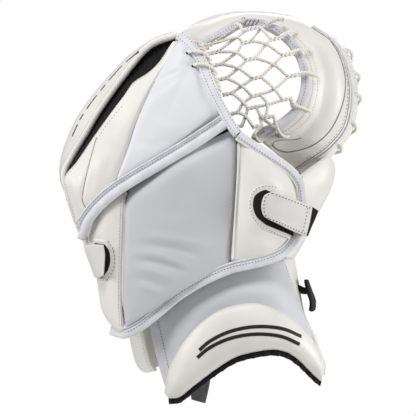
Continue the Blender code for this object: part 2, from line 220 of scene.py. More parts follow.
def leather(name, colour, roughness=0.42):
    """Coated goalie leather: a fine pebble, slow soft dimples and a faint cloudiness."""
    made, tree, shader, at = new_material(name, roughness, coat=0.12)
    coords = at["Object"]
    pebble = add(tree, "ShaderNodeTexVoronoi", Scale=1100.0)
    pebble.feature = "SMOOTH_F1"
    tree.links.new(coords, pebble.inputs["Vector"])
    cloud = noise(tree, coords, 22.0)
    fine = noise(tree, coords, 420.0, 6.0)
    soft = noise(tree, coords, 60.0, 3.0)
    paint(tree, shader, cloud, scaled(0.93, colour), colour)
    rough = add(tree, "ShaderNodeMapRange", To_Min=roughness - 0.06, To_Max=roughness + 0.10)
    tree.links.new(fine, rough.inputs["Value"])
    tree.links.new(rough.outputs["Result"], shader.inputs["Roughness"])
    bump(tree, shader, [(soft, 0.20, 0.0010), (fine, 0.25, 0.00012),
            (pebble.outputs["Distance"], 0.35, 0.00010)])
    return made


def coated_fabric(name, colour):
    """Smooth coated nylon: a tight weave under a thin film, with a soft sheen."""
    made, tree, shader, at = new_material(name, 0.5, sheen=0.25, coat=0.08)
    coords = at["Object"]
    weave = join(tree, "MULTIPLY", *[waves(tree, coords, 420.0, way) for way in "XZ"])
    cloud = noise(tree, coords, 16.0)
    soft = noise(tree, coords, 45.0, 3.0)
    paint(tree, shader, cloud, scaled(0.95, colour), colour)
    bump(tree, shader, [(soft, 0.25, 0.0012), (weave, 0.20, 0.00006)])
    return made


CREAM = leather("cream_leather", (0.82, 0.80, 0.755))
CREAM_SHADE = leather("cream_leather_matte", (0.77, 0.755, 0.715), 0.5)
TAB_LEATHER = leather("strap_leather", (0.72, 0.705, 0.675), 0.5)
GREY = coated_fabric("pale_grey_fabric", (0.76, 0.77, 0.805))
# The flap's grey fabric darkened: painted shade for the lower centre panel.
GREY_PAINTED_SHADE = coated_fabric("grey_fabric_painted_shade", (0.56, 0.563, 0.585))
GREY_CUFF = coated_fabric("cuff_grey_fabric", (0.66, 0.665, 0.70))

# %% [markdown]
# ## Tape, lining, lace and thread
# Tapes and laces have their own UV map: U runs across and V along the piece, both in metres. That
# lets ribs and braids follow a curving edge, which plain space coordinates can't do.

# %% Tape, lining, lace and thread


def tape(name, colour):
    """Bias binding: fine ribs across the tape and a slightly fuzzy face."""
    made, tree, shader, at = new_material(name, 0.7, sheen=0.35)
    ribs = waves(tree, at["UV"], 260.0, "Y")
    fuzz = noise(tree, at["Object"], 900.0, 5.0)
    cloud = noise(tree, at["Object"], 70.0)
    paint(tree, shader, cloud, scaled(0.86, colour), colour)
    bump(tree, shader, [(cloud, 0.35, 0.0008), (ribs, 0.30, 0.00015), (fuzz, 0.3, 0.0001)])
    return made


def lining(name, colour, sheen, scale, depth=0.0004):
    """Napped black fabric and hook-and-loop tape: deep colour, rough, with short fibres."""
    made, tree, shader, at = new_material(name, 0.9, sheen=sheen, specular=0.2)
    nap = noise(tree, at["Object"], scale, 6.0, 0.7)
    paint(tree, shader, nap, colour, scaled(2.6, colour), 0.4, 0.75)
    bump(tree, shader, [(nap, 0.6, depth)])
    return made


def braid(name, light, dark, strands=700.0):
    """Waxed lace or webbing: crossing diagonal yarns, with painted shade between them and random
    blotches.
    """
    made, tree, shader, at = new_material(name, 0.75, sheen=0.2)
    mapped = []
    for turn in (35, -35):
        mapping = tree.nodes.new("ShaderNodeMapping")
        mapping.inputs["Rotation"].default_value = (0.0, 0.0, math.radians(turn))
        tree.links.new(at["UV"], mapping.inputs["Vector"])
        mapped.append(waves(tree, mapping.outputs["Vector"], strands, "Y"))
    yarns = join(tree, "MAXIMUM", *mapped)
    blotch = noise(tree, at["Object"], 160.0)
    # Yarns times blotches set the colour: painted shade between the yarns, random mottling over
    # all.
    paint(tree, shader, join(tree, "MULTIPLY", yarns, blotch), dark, light, 0.05, 0.45)
    bump(tree, shader, [(yarns, 0.4, 0.0002)])
    return made


BIND = tape("bias_binding", (0.66, 0.665, 0.72))
BIND_PALE = tape("pale_binding", (0.76, 0.765, 0.80))
DEEP_BLACK = (0.006, 0.006, 0.0065)
BLACK = lining("black_lining", DEEP_BLACK, 0.08, 700.0)
HOOK = lining("hook_and_loop", DEEP_BLACK, 0.15, 1300.0, 0.0008)
# The second colour of each braid is its painted shade between the yarns.
LACE = braid("beige_lace", (0.93, 0.90, 0.84), (0.70, 0.64, 0.54))
WEBBING = braid("dark_webbing", (0.13, 0.13, 0.135), (0.05, 0.05, 0.052), 420.0)
THREAD = braid("pale_thread", (0.66, 0.65, 0.64), (0.40, 0.39, 0.38), 1600.0)
THREAD_DARK = braid("grey_thread", (0.22, 0.22, 0.24), (0.10, 0.10, 0.11), 1600.0)
PRINT, tree, shader, at = new_material("black_print", 0.55, specular=0.3)
paint(tree, shader, noise(tree, at["Object"], 500.0), (0.010, 0.010, 0.010), (0.022, 0.022, 0.022))
print(len(bpy.data.materials), "materials")

# %% [markdown]
# ## Pattern pieces as grids of points
# A panel of leather is a smooth surface between two or more drawn edges. `through` is a
# Catmull-Rom spline that works for points and for whole edges, so the same function bends a panel
# in both directions. The grids gather more points near the edges, where the leather rolls over.

# %% Curves and surfaces
FRONT = np.array([0.0, -1.0, 0.0])
TINY = 1e-12
CURVE_SAMPLES = 12
EDGE_GATHER = 0.6


def through(knots, places):
    """Points (or whole rows) at places from 0 to 1 on a smooth curve through the knots."""
    knots = np.asarray(knots, float)
    ends = np.concatenate([[2 * knots[0] - knots[1]], knots, [2 * knots[-1] - knots[-2]]])
    t = np.clip(np.asarray(places, float), 0, 1) * (len(knots) - 1)
    i = np.minimum(t.astype(int), len(knots) - 2)
    f = (t - i).reshape(-1, *[1] * (knots.ndim - 1))
    a, b, c, d = ends[i], ends[i + 1], ends[i + 2], ends[i + 3]
    return 0.5 * (2 * b + (c - a) * f + (2 * a - 5 * b + 4 * c - d) * f ** 2
        + (3 * b - a - 3 * c + d) * f ** 3)


def lengths(path):
    """The length run so far at each point of a path."""
    return np.concatenate([[0], np.cumsum(np.linalg.norm(np.diff(path, axis=0), axis=1))])


def even(path, count):
    """The same path with its points spread evenly along it."""
    s = lengths(path)
    at = np.linspace(0, s[-1], count)
    return np.stack([np.interp(at, s, path[:, k]) for k in range(path.shape[1])], axis=1)


def route(points, count):
    """A smooth, evenly spaced path through pattern points, in metres."""
    places = np.linspace(0, 1, CURVE_SAMPLES * len(points))
    return even(through(np.array(points, float) * MM, places), count)


def deep(outline, *depths):
    """Gives an (x, z) outline its depths, spread evenly from its first point to its last."""
    at = np.linspace(0, 1, len(outline))
    y = np.interp(at, np.linspace(0, 1, len(depths)), depths)
    return [(x, float(d), z) for (x, z), d in zip(outline, y)]


def shifted(outline, dx, dz=0.0):
    return [(x + dx, z + dz) for x, z in outline]


def between(inner, outer, share, first=0, last=None):
    """The outline at a share of the way from the inner to the outer one."""
    return [((1 - share) * a + share * c, (1 - share) * b + share * d)
        for (a, b), (c, d) in zip(inner[first:last], outer[first:last])]


def gathered(count):
    """Places from 0 to 1 that crowd towards both ends."""
    x = np.linspace(0, 1, count + 1)
    return (1 - EDGE_GATHER) * x + EDGE_GATHER * (0.5 - 0.5 * np.cos(np.pi * x))


def surface(rows, across, along):
    """A grid [along, across, xyz] in metres through edges that run side by side."""
    v = gathered(along)
    tracks = np.stack([through(np.array(row, float) * MM, v) for row in rows])
    return through(tracks, gathered(across)).transpose(1, 0, 2)


def normals(grid, outward=FRONT):
    """Unit normals of a grid, turned to the side of the outward direction."""
    n = np.cross(np.gradient(grid, axis=1), np.gradient(grid, axis=0))
    n /= np.linalg.norm(n, axis=2, keepdims=True) + TINY
    return n if np.sum(n @ np.array(outward)) > 0 else -n


def side_distances(grid):
    """Each point's distance to the left, right, top and bottom edges, along the grid."""
    step_u = np.linalg.norm(np.diff(grid, axis=1), axis=2)
    step_v = np.linalg.norm(np.diff(grid, axis=0), axis=2)
    left = np.concatenate([np.zeros((grid.shape[0], 1)), np.cumsum(step_u, axis=1)], axis=1)
    top = np.concatenate([np.zeros((1, grid.shape[1])), np.cumsum(step_v, axis=0)], axis=0)
    return {"left": left, "right": left[:, -1:] - left, "top": top, "bottom": top[-1:] - top}


def edge_distance(grid):
    """Each point's distance to the nearest edge."""
    return np.minimum.reduce(list(side_distances(grid).values()))


def ribs(height, spacing):
    """Relief of fine ribs across a grid, in millimetres."""
    return lambda grid: height * np.sin(side_distances(grid)["top"] / (spacing * MM))


# %% [markdown]
# ## From grids to solid pieces
# `shell` closes a front grid and a back grid into one solid. `pad` rolls a panel's edges down,
# puffs its middle and lets single sides dip, as a sewn edge does. `leather_wall` is the same for a
# thin wall whose rounded edges close to nothing. `belongs` hands a piece to the body it rides on.

# %% Solid pieces
PIECES = {}
GRIDS = {}
PUFF_REACH = 14 * MM
LEAST_THICKNESS = 1.0 * MM
WELD = 0.001 * MM


def mesh_object(name, points, faces, uvs, finish):
    """A smooth mesh with its faces outwards, its UV map and its finish."""
    data = bpy.data.meshes.new(name)
    data.from_pydata(points.tolist(), [], faces)
    layer = data.uv_layers.new(name="cloth")
    layer.data.foreach_set("uv", np.asarray(uvs, np.float32).ravel())
    mesh = bmesh.new()
    mesh.from_mesh(data)
    if mesh.calc_volume(signed=True) < 0:
        bmesh.ops.reverse_faces(mesh, faces=mesh.faces)
    mesh.to_mesh(data)
    mesh.free()
    data.shade_smooth()
    data.materials.append(finish)
    item = bpy.data.objects.new(name, data)
    bpy.context.scene.collection.objects.link(item)
    return item


def shell(name, finish, front, back):
    """One closed solid between two grids of the same size."""
    n_v, n_u = front.shape[:2]
    ids = np.arange(n_v * n_u).reshape(n_v, n_u)
    back_ids = ids + n_v * n_u
    shared = np.linalg.norm(front - back, axis=2) < WELD
    back_ids = np.where(shared, ids, back_ids)
    middle = side_distances(front)
    uv_of = np.stack([middle["left"], middle["top"]], axis=2).reshape(-1, 2)
    a, b, c, d = ids[:-1, :-1], ids[:-1, 1:], ids[1:, 1:], ids[1:, :-1]
    faces = np.stack([a, b, c, d], axis=2).reshape(-1, 4).tolist()
    a, b, c, d = back_ids[:-1, :-1], back_ids[1:, :-1], back_ids[1:, 1:], back_ids[:-1, 1:]
    faces += np.stack([a, b, c, d], axis=2).reshape(-1, 4).tolist()
    rim = list(ids[0, :]) + list(ids[1:, -1]) + list(ids[-1, -2::-1]) + list(ids[-2:0:-1, 0])
    under = dict(zip(ids.ravel().tolist(), back_ids.ravel().tolist()))
    for i, one in enumerate(rim):
        two = rim[(i + 1) % len(rim)]
        quad = [int(two), int(one), under[int(one)], under[int(two)]]
        ring = [v for k, v in enumerate(quad) if v != quad[k - 1]]
        if len(set(ring)) == len(ring) > 2:
            faces.append(ring)
    points = np.concatenate([front.reshape(-1, 3), back.reshape(-1, 3)])
    used = np.unique(np.concatenate([np.array(face) for face in faces]))
    renumber = np.full(len(points), -1)
    renumber[used] = np.arange(len(used))
    uv_all = np.concatenate([uv_of, uv_of])
    uvs = np.concatenate([uv_all[face] for face in faces])
    faces = [[int(renumber[v]) for v in face] for face in faces]
    return mesh_object(name, points[used], faces, uvs, finish)


def belongs(item, body, slot, *nodes):
    """Hangs a piece on the body it rides on and hides the CAD nodes that it stands for. The slot is
    not used.
    """
    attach(item, body)
    if nodes:
        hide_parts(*nodes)
    PIECES[item.name] = item
    return item


def puffed(distance, puff):
    """How far the filling pushes a face out: nothing at the edges, all of it in the middle."""
    return puff * MM * (1 - np.exp(-distance / PUFF_REACH))


def edge_roll(distance, radius):
    """How far a rounded edge has dropped at a distance from it."""
    near = np.clip(1 - distance / radius, 0, 1)
    return radius * (1 - np.sqrt(1 - near ** 2 + TINY))


def pad(name, finish, rows, thick, roll=2.5, puff=1.0, dips=None, relief=None, across=36,
        along=60):
    """A padded panel, seen from the front. dips: side -> (depth, reach) in millimetres."""
    grid = surface(rows, across, along)
    out = normals(grid)
    sides = side_distances(grid)
    nearest = np.minimum.reduce(list(sides.values()))
    rise = puffed(nearest, puff)
    for side, (depth, reach) in (dips or {}).items():
        rise -= depth * MM * np.exp(-(sides[side] / (reach * MM)) ** 2)
    if relief is not None:
        rise += relief(grid) * MM
    front = grid + out * rise[..., None]
    front[..., 1] += edge_roll(nearest, roll * MM)
    back = grid + np.array([0.0, thick * MM, 0.0])
    back[..., 1] = np.maximum(back[..., 1], front[..., 1] + LEAST_THICKNESS)
    GRIDS[name] = front
    return shell(name, finish, front, back)


def leather_wall(name, finish, rows, thick, outward=FRONT, puff=0.0, relief=None, across=30,
        along=80, edge=4.0):
    """A wall of even thickness whose edges are rounded."""
    grid = surface(rows, across, along)
    out = normals(grid, outward)
    nearest = edge_distance(grid)
    near = np.clip(1 - nearest / (edge * MM), 0, 1)
    half = 0.5 * thick * MM * np.sqrt(np.clip(1 - near ** 2, 0, 1))
    rise = puffed(nearest, puff)
    if relief is not None:
        rise += relief(grid) * MM * np.clip(nearest / (3 * MM), 0, 1)
    front = grid + out * (half + rise)[..., None]
    back = grid - out * half[..., None]
    GRIDS[name] = front
    return shell(name, finish, front, back)


# %% [markdown]
# ## Tape, cord and stitches
# Everything long and thin is a section swept along a path. The section lies in two directions: to
# the side, and outwards from the leather. Stitches are short humps of thread whose ends sink in.

# %% Long thin pieces
RAY_START = 0.3
CREASE_FADE = 0.3
CREASE_END = 0.15
STITCH_SHAPE = np.array([-1.0, -0.6, 0.0, 0.6, 1.0])
STITCH_SINK = 1.3
STITCH_TAPER = 0.8


def ellipse(half_width, half_height, count=14, power=0.8):
    """A closed section in metres from half sizes in mm; a power below 1 squares it."""
    turn = np.linspace(0, 2 * np.pi, count, endpoint=False)
    cos, sin = np.cos(turn), np.sin(turn)
    return np.stack([half_width * np.sign(cos) * np.abs(cos) ** power,
            half_height * np.sign(sin) * np.abs(sin) ** power], axis=1) * MM


def frames(path, out):
    """The side and up directions along a path that lies on a surface facing out."""
    along = np.gradient(path, axis=0)
    along /= np.linalg.norm(along, axis=1, keepdims=True) + TINY
    out = np.broadcast_to(np.asarray(out, float), path.shape)
    out = out - np.sum(out * along, axis=1, keepdims=True) * along
    out /= np.linalg.norm(out, axis=1, keepdims=True) + TINY
    return np.cross(along, out), out


def swept(path, section, out=FRONT, scale=None, spin=None):
    """Points, faces and UVs of a section swept along a path; ends are closed."""
    side, up = frames(path, out)
    count, around = len(path), len(section)
    shape = np.broadcast_to(section, (count, around, 2)).copy()
    if spin is not None:
        cos, sin = np.cos(spin)[:, None], np.sin(spin)[:, None]
        shape = np.stack([shape[..., 0] * cos - shape[..., 1] * sin,
                shape[..., 0] * sin + shape[..., 1] * cos], axis=2)
    if scale is not None:
        shape = shape * np.asarray(scale)[:, None, None]
    rings = path[:, None] + shape[..., :1] * side[:, None] + shape[..., 1:] * up[:, None]
    points = np.concatenate([rings.reshape(-1, 3), path[:1], path[-1:]])
    s = lengths(path)
    rim = lengths(np.concatenate([section, section[:1]]))
    faces, uvs = [], []
    for i in range(count - 1):
        for j in range(around):
            k = (j + 1) % around
            faces.append([i * around + j, i * around + k, (i + 1) * around + k,
                    (i + 1) * around + j])
            uvs += [(rim[j], s[i]), (rim[j + 1], s[i]), (rim[j + 1], s[i + 1]), (rim[j], s[i + 1])]
    first, last = count * around, count * around + 1
    for j in range(around):
        k = (j + 1) % around
        faces.append([first, k, j])
        faces.append([last, (count - 1) * around + j, (count - 1) * around + k])
        uvs += [(0, 0), (rim[k], 0), (rim[j], 0), (0, s[-1]), (rim[j], s[-1]), (rim[k], s[-1])]
    return points, faces, uvs


def sweep(name, finish, path, section, out=FRONT):
    return mesh_object(name, *swept(path, section, out), finish)


def joined(name, finish, parts):
    """Many swept parts as one object."""
    points, faces, uvs, start = [], [], [], 0
    for part_points, part_faces, part_uvs in parts:
        points.append(part_points)
        faces += [[v + start for v in face] for face in part_faces]
        uvs += list(part_uvs)
        start += len(part_points)
    return mesh_object(name, np.concatenate(points), faces, uvs, finish)


def stitches(name, finish, path, out, pitch=3.4, length=2.3, radius=0.42, lift=0.12):
    """A row of thread humps along a path that lies on the leather."""
    total = lengths(path)[-1]
    count = max(int(total / (pitch * MM)), 2)
    line = even(path, count * 6 + 1)
    up = np.asarray(out, float)
    if up.ndim > 1:
        up = even(up, count * 6 + 1)
    up = np.broadcast_to(up, line.shape)
    s = lengths(line)
    hump = STITCH_SHAPE
    parts = []
    for i in range(count):
        middle = (i + 0.5) * s[-1] / count
        at = middle + hump * length * MM / 2
        short = np.stack([np.interp(at, s, line[:, k]) for k in range(3)], axis=1)
        rise = np.stack([np.interp(at, s, up[:, k]) for k in range(3)], axis=1)
        height = (lift - radius * STITCH_SINK * hump ** 4) * MM
        parts.append(swept(short + rise * height[:, None], ellipse(radius, radius, 6, 1.0),
                rise, scale=np.sqrt(1.05 - hump ** 2 * STITCH_TAPER)))
    return joined(name, finish, parts)


def inset(name, side, distance, first=0.0, last=1.0):
    """A line on a panel's front, at a distance in mm inside one of its sides, and its normals."""
    grid = GRIDS[name]
    out = normals(grid)
    if side in ("top", "bottom"):
        grid, out = grid.transpose(1, 0, 2), out.transpose(1, 0, 2)
    if side in ("right", "bottom"):
        grid, out = grid[:, ::-1], out[:, ::-1]
    rows = range(int(first * (len(grid) - 1)), int(last * (len(grid) - 1)) + 1)
    line, up = [], []
    for i in rows:
        s = lengths(grid[i])
        line.append([np.interp(distance * MM, s, grid[i, :, k]) for k in range(3)])
        up.append([np.interp(distance * MM, s, out[i, :, k]) for k in range(3)])
    return np.array(line), np.array(up)


def drape(outline, names, count=60, side=-1.0, lift=0.0):
    """Lays an (x, z) line on pieces, as seen from side -1 (behind the hand) or 1 (the pocket).
    Gives the line and the surface's normals."""
    trees = []
    for name in names:
        data = PIECES[name].data
        trees.append(BVHTree.FromPolygons([v.co for v in data.vertices],
                [p.vertices[:] for p in data.polygons]))
    flat = route([(x, 0.0, z) for x, z in outline], count)
    line, up = [], []
    for x, _, z in flat:
        hits = [tree.ray_cast((x, side * RAY_START, z), (0.0, -side, 0.0)) for tree in trees]
        hits = [hit for hit in hits if hit[0] is not None]
        if hits:
            hit = max(hits, key=lambda one: side * one[0].y)
            normal = hit[1] if hit[1].y * side > 0 else -hit[1]
            line.append(hit[0] + normal * lift * MM)
            up.append(normal)
    return np.array(line), smooth(np.array(up), 3)


def smooth(values, rounds):
    """Evens out a row of values, each with its neighbours, in some rounds."""
    for _ in range(rounds):
        values = np.concatenate([values[:1], (values[:-2] + 2 * values[1:-1] + values[2:]) / 4,
                values[-1:]])
    return values


def folds(*creases):
    """Soft creases in a panel. Each is (points (x, z), half width, height); a height below 0 is
    a groove."""
    def relief(grid):
        total = np.zeros(grid.shape[:2])
        flat = grid[..., [0, 2]] / MM
        for points, width, height in creases:
            line = through(np.array(points, float), np.linspace(0, 1, 8 * len(points)))
            share = np.linspace(0, 1, len(line))
            gaps = np.linalg.norm(flat[:, :, None] - line, axis=3)
            near = gaps.argmin(axis=2)
            ends = np.minimum(share, 1 - share) / CREASE_FADE + CREASE_END
            ends = np.clip(ends, 0, 1)[near]
            total += height * np.exp(-(gaps.min(axis=2) / width) ** 2) * ends
        return total
    return relief


def seam(name, body, slot, finish, line_and_out, radius):
    """A thin round line on the leather."""
    line, out = line_and_out
    return belongs(sweep(name, finish, line, ellipse(radius, radius, 8, 1.0), out), body, slot)


def stitch_row(name, body, line_and_out, finish=None, **sizes):
    line, out = line_and_out
    return belongs(stitches(name, finish or THREAD, line, out, **sizes), body, "beige_lace")


def beside(path, out, distance):
    """A path moved sideways along the surface, by a distance in mm."""
    return path + frames(path, out)[0] * distance * MM


def band_section(half_width, half_height):
    """The nearly rectangular section of a tape."""
    return ellipse(half_width, half_height, 18, 0.45)


print("helpers ready")

# %% [markdown]
# ## The pattern
# These outlines are the edges that neighbouring pieces share, as (x, z) seen from behind the
# hand. Keeping them in one place means two panels always meet on the same seam.

# %% Shared outlines
GAP_OUTER = [(-68, 362), (-95, 352), (-117, 328), (-149, 283), (-167, 253), (-181, 231),
    (-190, 213), (-186, 192), (-178, 167), (-168, 144), (-152, 115)]
SILHOUETTE = [(-72, 364), (-108, 348), (-130, 331), (-167, 288), (-185, 256), (-194, 229),
    (-194, 207), (-184, 184), (-177, 160), (-167, 137), (-153, 108)]
GAP_INNER = [(-77, 354), (-90, 334), (-102, 322), (-118, 311), (-128, 297), (-143, 277),
    (-161, 252), (-178, 227), (-192, 209), (-189, 192), (-184, 176), (-180, 160)]
GUARD_SEAM = [(-75, 356), (-88, 331), (-108, 300), (-132, 266), (-150, 238), (-160, 220),
    (-166, 206), (-168, 194), (-168, 183), (-165, 168)]
FLAP_LEFT = [(-70, 356), (-83, 335), (-98, 306), (-113, 272), (-122, 244), (-130, 222),
    (-137, 202), (-140, 192)]
FLAP_RIGHT = [(-60, 356), (-48, 338), (-37, 314), (-26, 292), (-20, 283), (-17, 277), (-17, 271)]
ROLL_LINE = [(-174, 145), (-168, 161), (-157, 176), (-141, 191), (-122, 204), (-90, 223),
    (-57, 243), (-19, 268)]
ROLL_DEPTH = [-41, -47, -52, -56, -57, -58, -58, -55]
BAND_INNER = [(-53, 347), (-24, 361.5), (-1, 373.5), (24, 371), (45, 358), (59, 338), (64, 315),
    (60, 294), (51, 279), (35, 267), (18, 260), (12, 254)]
BAND_OUTER = [(-66, 367), (-41, 377), (-3, 387), (40, 385), (78, 375), (105, 356), (119, 326),
    (122, 296), (116, 264), (98, 241), (76, 225), (60, 215)]
BAND_FOLD = [(-60, 357), (-34, 372), (-2, 384), (35, 382), (66, 371), (91, 349), (102, 323),
    (104, 295), (96, 271), (78, 253), (54, 243), (36, 236)]
CLOSE_LOW = np.array([-30.0, 16.0, 78.0]) * MM
CLOSE_HIGH = np.array([58.0, 16.0, 380.0]) * MM


def on_closing_line(z, side):
    """The (x, z) point at a height on the closing line, moved sideways by side mm."""
    share = (z * MM - CLOSE_LOW[2]) / (CLOSE_HIGH[2] - CLOSE_LOW[2])
    return (float(CLOSE_LOW[0] + share * (CLOSE_HIGH[0] - CLOSE_LOW[0])) / MM + side, z)


print("closing line is", round(float(np.linalg.norm(CLOSE_HIGH - CLOSE_LOW)) / MM), "mm long")

# %% [markdown]
# ## Finger side
# The band that runs round the fingers is one smooth strip of leather over foam, folded at its
# front edge. A wall through three drawn edges gives its bend; its rounded border is the fold.

# %% Finger band
RIM = shifted(SILHOUETTE, 5)
band = leather_wall("finger_band", CREAM,
    [deep(shifted(GAP_OUTER, -3, 2), -16, -8), deep(SILHOUETTE, 20, 30),
        deep(RIM, 54, 66)], 8.0, (-1.0, -0.3, 0.2), puff=1.0, across=34, along=110, edge=5.0)
belongs(band, "hand", "cream_leather", "finger_perimeter")
rim_path = route(deep(shifted(RIM, 2), 64, 76), 90)
rim_roll = sweep("finger_rim_roll", CREAM_SHADE, rim_path, ellipse(7, 7, 18, 0.9),
    (-1.0, 0.0, 0.2))
belongs(rim_roll, "hand", "cream_leather", "finger_rim")
stitch_row("finger_band_stitches", "hand", inset("finger_band", "right", 9.0, 0.02, 0.98))
stitch_row("finger_fold_stitches", "hand", inset("finger_band", "left", 5.0, 0.04, 0.60),
    pitch=3.0)

DASH_BREAKS = (0.0, 0.13, 0.17, 0.24, 0.29, 0.45, 0.50, 0.57, 0.62, 0.80, 0.85, 1.0)
MARK_LINE = [(-182, 252), (-173, 271), (-159.5, 291), (-145, 309), (-128, 328), (-109, 343)]
marks = []
line, out = drape(shifted(MARK_LINE, -3.2, 2.4), ["finger_band"], 200, lift=0.1)
for start, stop in zip(DASH_BREAKS[::2], DASH_BREAKS[1::2]):
    dash = slice(int(start * (len(line) - 1)), int(stop * (len(line) - 1)))
    marks.append(swept(line[dash], band_section(1.3, 0.2), out[dash]))
belongs(joined("finger_band_dashes", PRINT, marks), "hand", "black_lining")

# %% Black lining in the long gap
GAP_EDGE = [(-70, 365), (-84, 359), (-108, 338), (-129, 314), (-150, 287), (-162, 269),
    (-172, 250), (-182, 235), (-194, 214)]
gap_rows = [deep(shifted(GAP_EDGE, -2, 1), -5, 3),
    deep(between(GAP_EDGE, GAP_INNER, 0.5), -8, -10, -10, -8),
    deep(shifted(GAP_INNER[:9], 5, -2), -11, -18, -22, -25, -27, -28, -28, -27, -25)]
gap_lining = leather_wall("gap_lining", BLACK, gap_rows, 1.6, relief=ribs(0.5, 1.1),
    across=16, along=240, edge=1.0)
belongs(gap_lining, "hand", "black_lining")

# %% [markdown]
# The guard over the fingers is one soft panel whose lower end is stitched down along a curved seam.
# The panel is a grid through three edges, its border rolled down, its middle puffed by the foam.

# %% Finger guard
OUTER_DEPTH = [-22, -30, -35, -38, -39, -39, -37, -35, -33, -32]
SEAM_DEPTH = [-26, -36, -44, -48, -50, -51, -50, -49, -48, -46]
INNER_DEPTH = [-28, -39, -47, -53, -56, -57, -57, -55]
LOW_SEAM = [(-157, 252), (-161, 238), (-164.5, 225), (-168, 210), (-170.5, 197), (-172, 186),
    (-168, 177), (-161, 169)]
guard = pad("finger_guard_panel", CREAM,
    [deep(GAP_INNER, *OUTER_DEPTH), deep(GUARD_SEAM, *SEAM_DEPTH),
        deep(shifted(FLAP_LEFT, -0.4), *INNER_DEPTH)], 11, roll=2.4, puff=2.0,
    dips={"right": (1.8, 4.0)}, across=56, along=110, relief=folds((LOW_SEAM, 1.8, -1.3),
        ([(-146, 240), (-152, 215), (-158, 190)], 6.0, 1.3),
        ([(-180, 216), (-180, 200), (-178, 184)], 4.0, 0.7),
        ([(-98, 316), (-118, 282), (-132, 250)], 6.0, 0.7),
        ([(-126, 240), (-136, 216), (-144, 198)], 3.0, -0.8)))
belongs(guard, "hand", "cream_leather", "finger_guard_outer", "finger_guard_inner")
seam("guard_low_seam", "hand", "cream_leather", THREAD_DARK,
    drape(LOW_SEAM, ["finger_guard_panel"], 60, lift=-0.1), 0.55)
stitch_row("guard_stitches", "hand", drape([(-129, 286), (-138, 276), (-148, 263), (-157, 249)],
        ["finger_guard_panel"], 40), THREAD_DARK, pitch=3.6, length=1.7, radius=0.4)
stitch_row("guard_edge_stitches", "hand", inset("finger_guard_panel", "left", 3.6, 0.05, 0.97),
    pitch=3.2)
seam("guard_flap_seam", "hand", "cream_leather", THREAD_DARK,
    inset("finger_guard_panel", "right", 0.9, 0.03, 0.5), 0.5)

# %% [markdown]
# ## Grey flap over the back of the hand
# Coated fabric over foam. It is pulled by the lace eyelets near its top, so soft wrinkles fan out
# from them, and it dips where it goes under the long diagonal roll.

# %% Upper flap
FLAP_MIDDLE = [(-65, 356), (-66, 336), (-68, 310), (-70, 282), (-74, 262), (-80, 242), (-86, 226)]
upper_flap = pad("upper_flap", GREY, [deep(FLAP_LEFT, -30, -40, -48, -54, -57, -58, -57, -53),
        deep(FLAP_MIDDLE, -31, -42, -51, -57, -60, -60, -58),
        deep(FLAP_RIGHT, -28, -34, -42, -48, -51, -52, -52)],
    13, roll=2.0, puff=2.6, dips={"bottom": (9.0, 12.0), "left": (1.0, 3.0)}, across=60, along=90,
    relief=folds(([(-58, 338), (-76, 318), (-98, 296)], 4.0, -0.9),
        ([(-56, 330), (-68, 306), (-80, 276)], 4.5, -0.9),
        ([(-60, 334), (-84, 308), (-110, 262)], 5.0, 0.9),
        ([(-66, 323), (-80, 318), (-96, 311)], 2.4, -1.1),
        ([(-64, 320), (-76, 311), (-92, 298)], 2.8, -0.9),
        ([(-52, 326), (-56, 300), (-60, 272)], 4.0, 0.7),
        ([(-50, 322), (-46, 300), (-42, 284)], 4.0, -0.6),
        ([(-104, 276), (-86, 262), (-64, 262)], 7.0, 0.8),
        ([(-118, 250), (-96, 244), (-70, 252)], 4.0, -0.7)))
belongs(upper_flap, "hand", "grey_fabric", "upper_back_pad")


def eyelet(name, x, z):
    line, out = drape([(x - 1.6, z), (x + 1.6, z)], ["upper_flap"], 5, lift=0.2)
    return belongs(sweep(name, BLACK, line, ellipse(1.5, 0.5, 10), out), "hand",
        "black_lining")


eyelet("eyelet_high", -60, 342)
eyelet("eyelet_low", -54, 328)

# %% [markdown]
# The long diagonal closes the flap: a thin piping, a stitched channel in a recess, and a thick
# roll of binding. They are three sweeps side by side on the same smooth route.

# %% Diagonal roll
roll_path = route(deep(ROLL_LINE, *ROLL_DEPTH), 120)
roll = sweep("diagonal_roll", BIND_PALE, beside(roll_path, FRONT, 1.2) + FRONT * 0.5 * MM,
    ellipse(4.8, 4.8, 18, 0.9))
belongs(roll, "hand", "bias_binding", "upper_pad_roll")
channel_path = beside(roll_path, FRONT, -5.2) - FRONT * 0.5 * MM
belongs(sweep("roll_channel", BIND, channel_path[6:], band_section(2.6, 2.2)), "hand",
    "bias_binding")
stitch_row("channel_stitches", "hand", (channel_path[8:] + FRONT * 2.2 * MM, FRONT),
    THREAD_DARK, pitch=3.2, length=1.8)
piping_path = beside(roll_path, FRONT, -8.4)[10:] + FRONT * 1.2 * MM
belongs(sweep("roll_piping", BIND_PALE, piping_path, ellipse(1.1, 1.1, 10, 1.0)), "hand",
    "bias_binding")
print("diagonal roll", round(lengths(roll_path)[-1] / MM), "mm long")

# %% Tape along the index edge
INDEX_EDGE = [(-69, 362), (-57, 350), (-46, 334), (-39.5, 316), (-33, 301), (-22.5, 280),
    (-14.5, 266), (-7, 255.5)]
index_path = route(deep(INDEX_EDGE, -27, -32, -40, -45, -49, -54, -57, -58), 90)
index_out = (0.25, -1.0, 0.1)
belongs(sweep("index_tape", BIND_PALE, index_path, band_section(5.3, 3.2), index_out), "hand",
    "bias_binding", "index_edge_binding")
up = frames(index_path, index_out)[1]
for number, offset in enumerate((-3.2, 3.2)):
    stitch_row(f"index_stitches_{number}", "hand",
        (beside(index_path, index_out, offset) + up * 3.1 * MM, up), THREAD_DARK,
        pitch=3.4, length=1.6, radius=0.35)
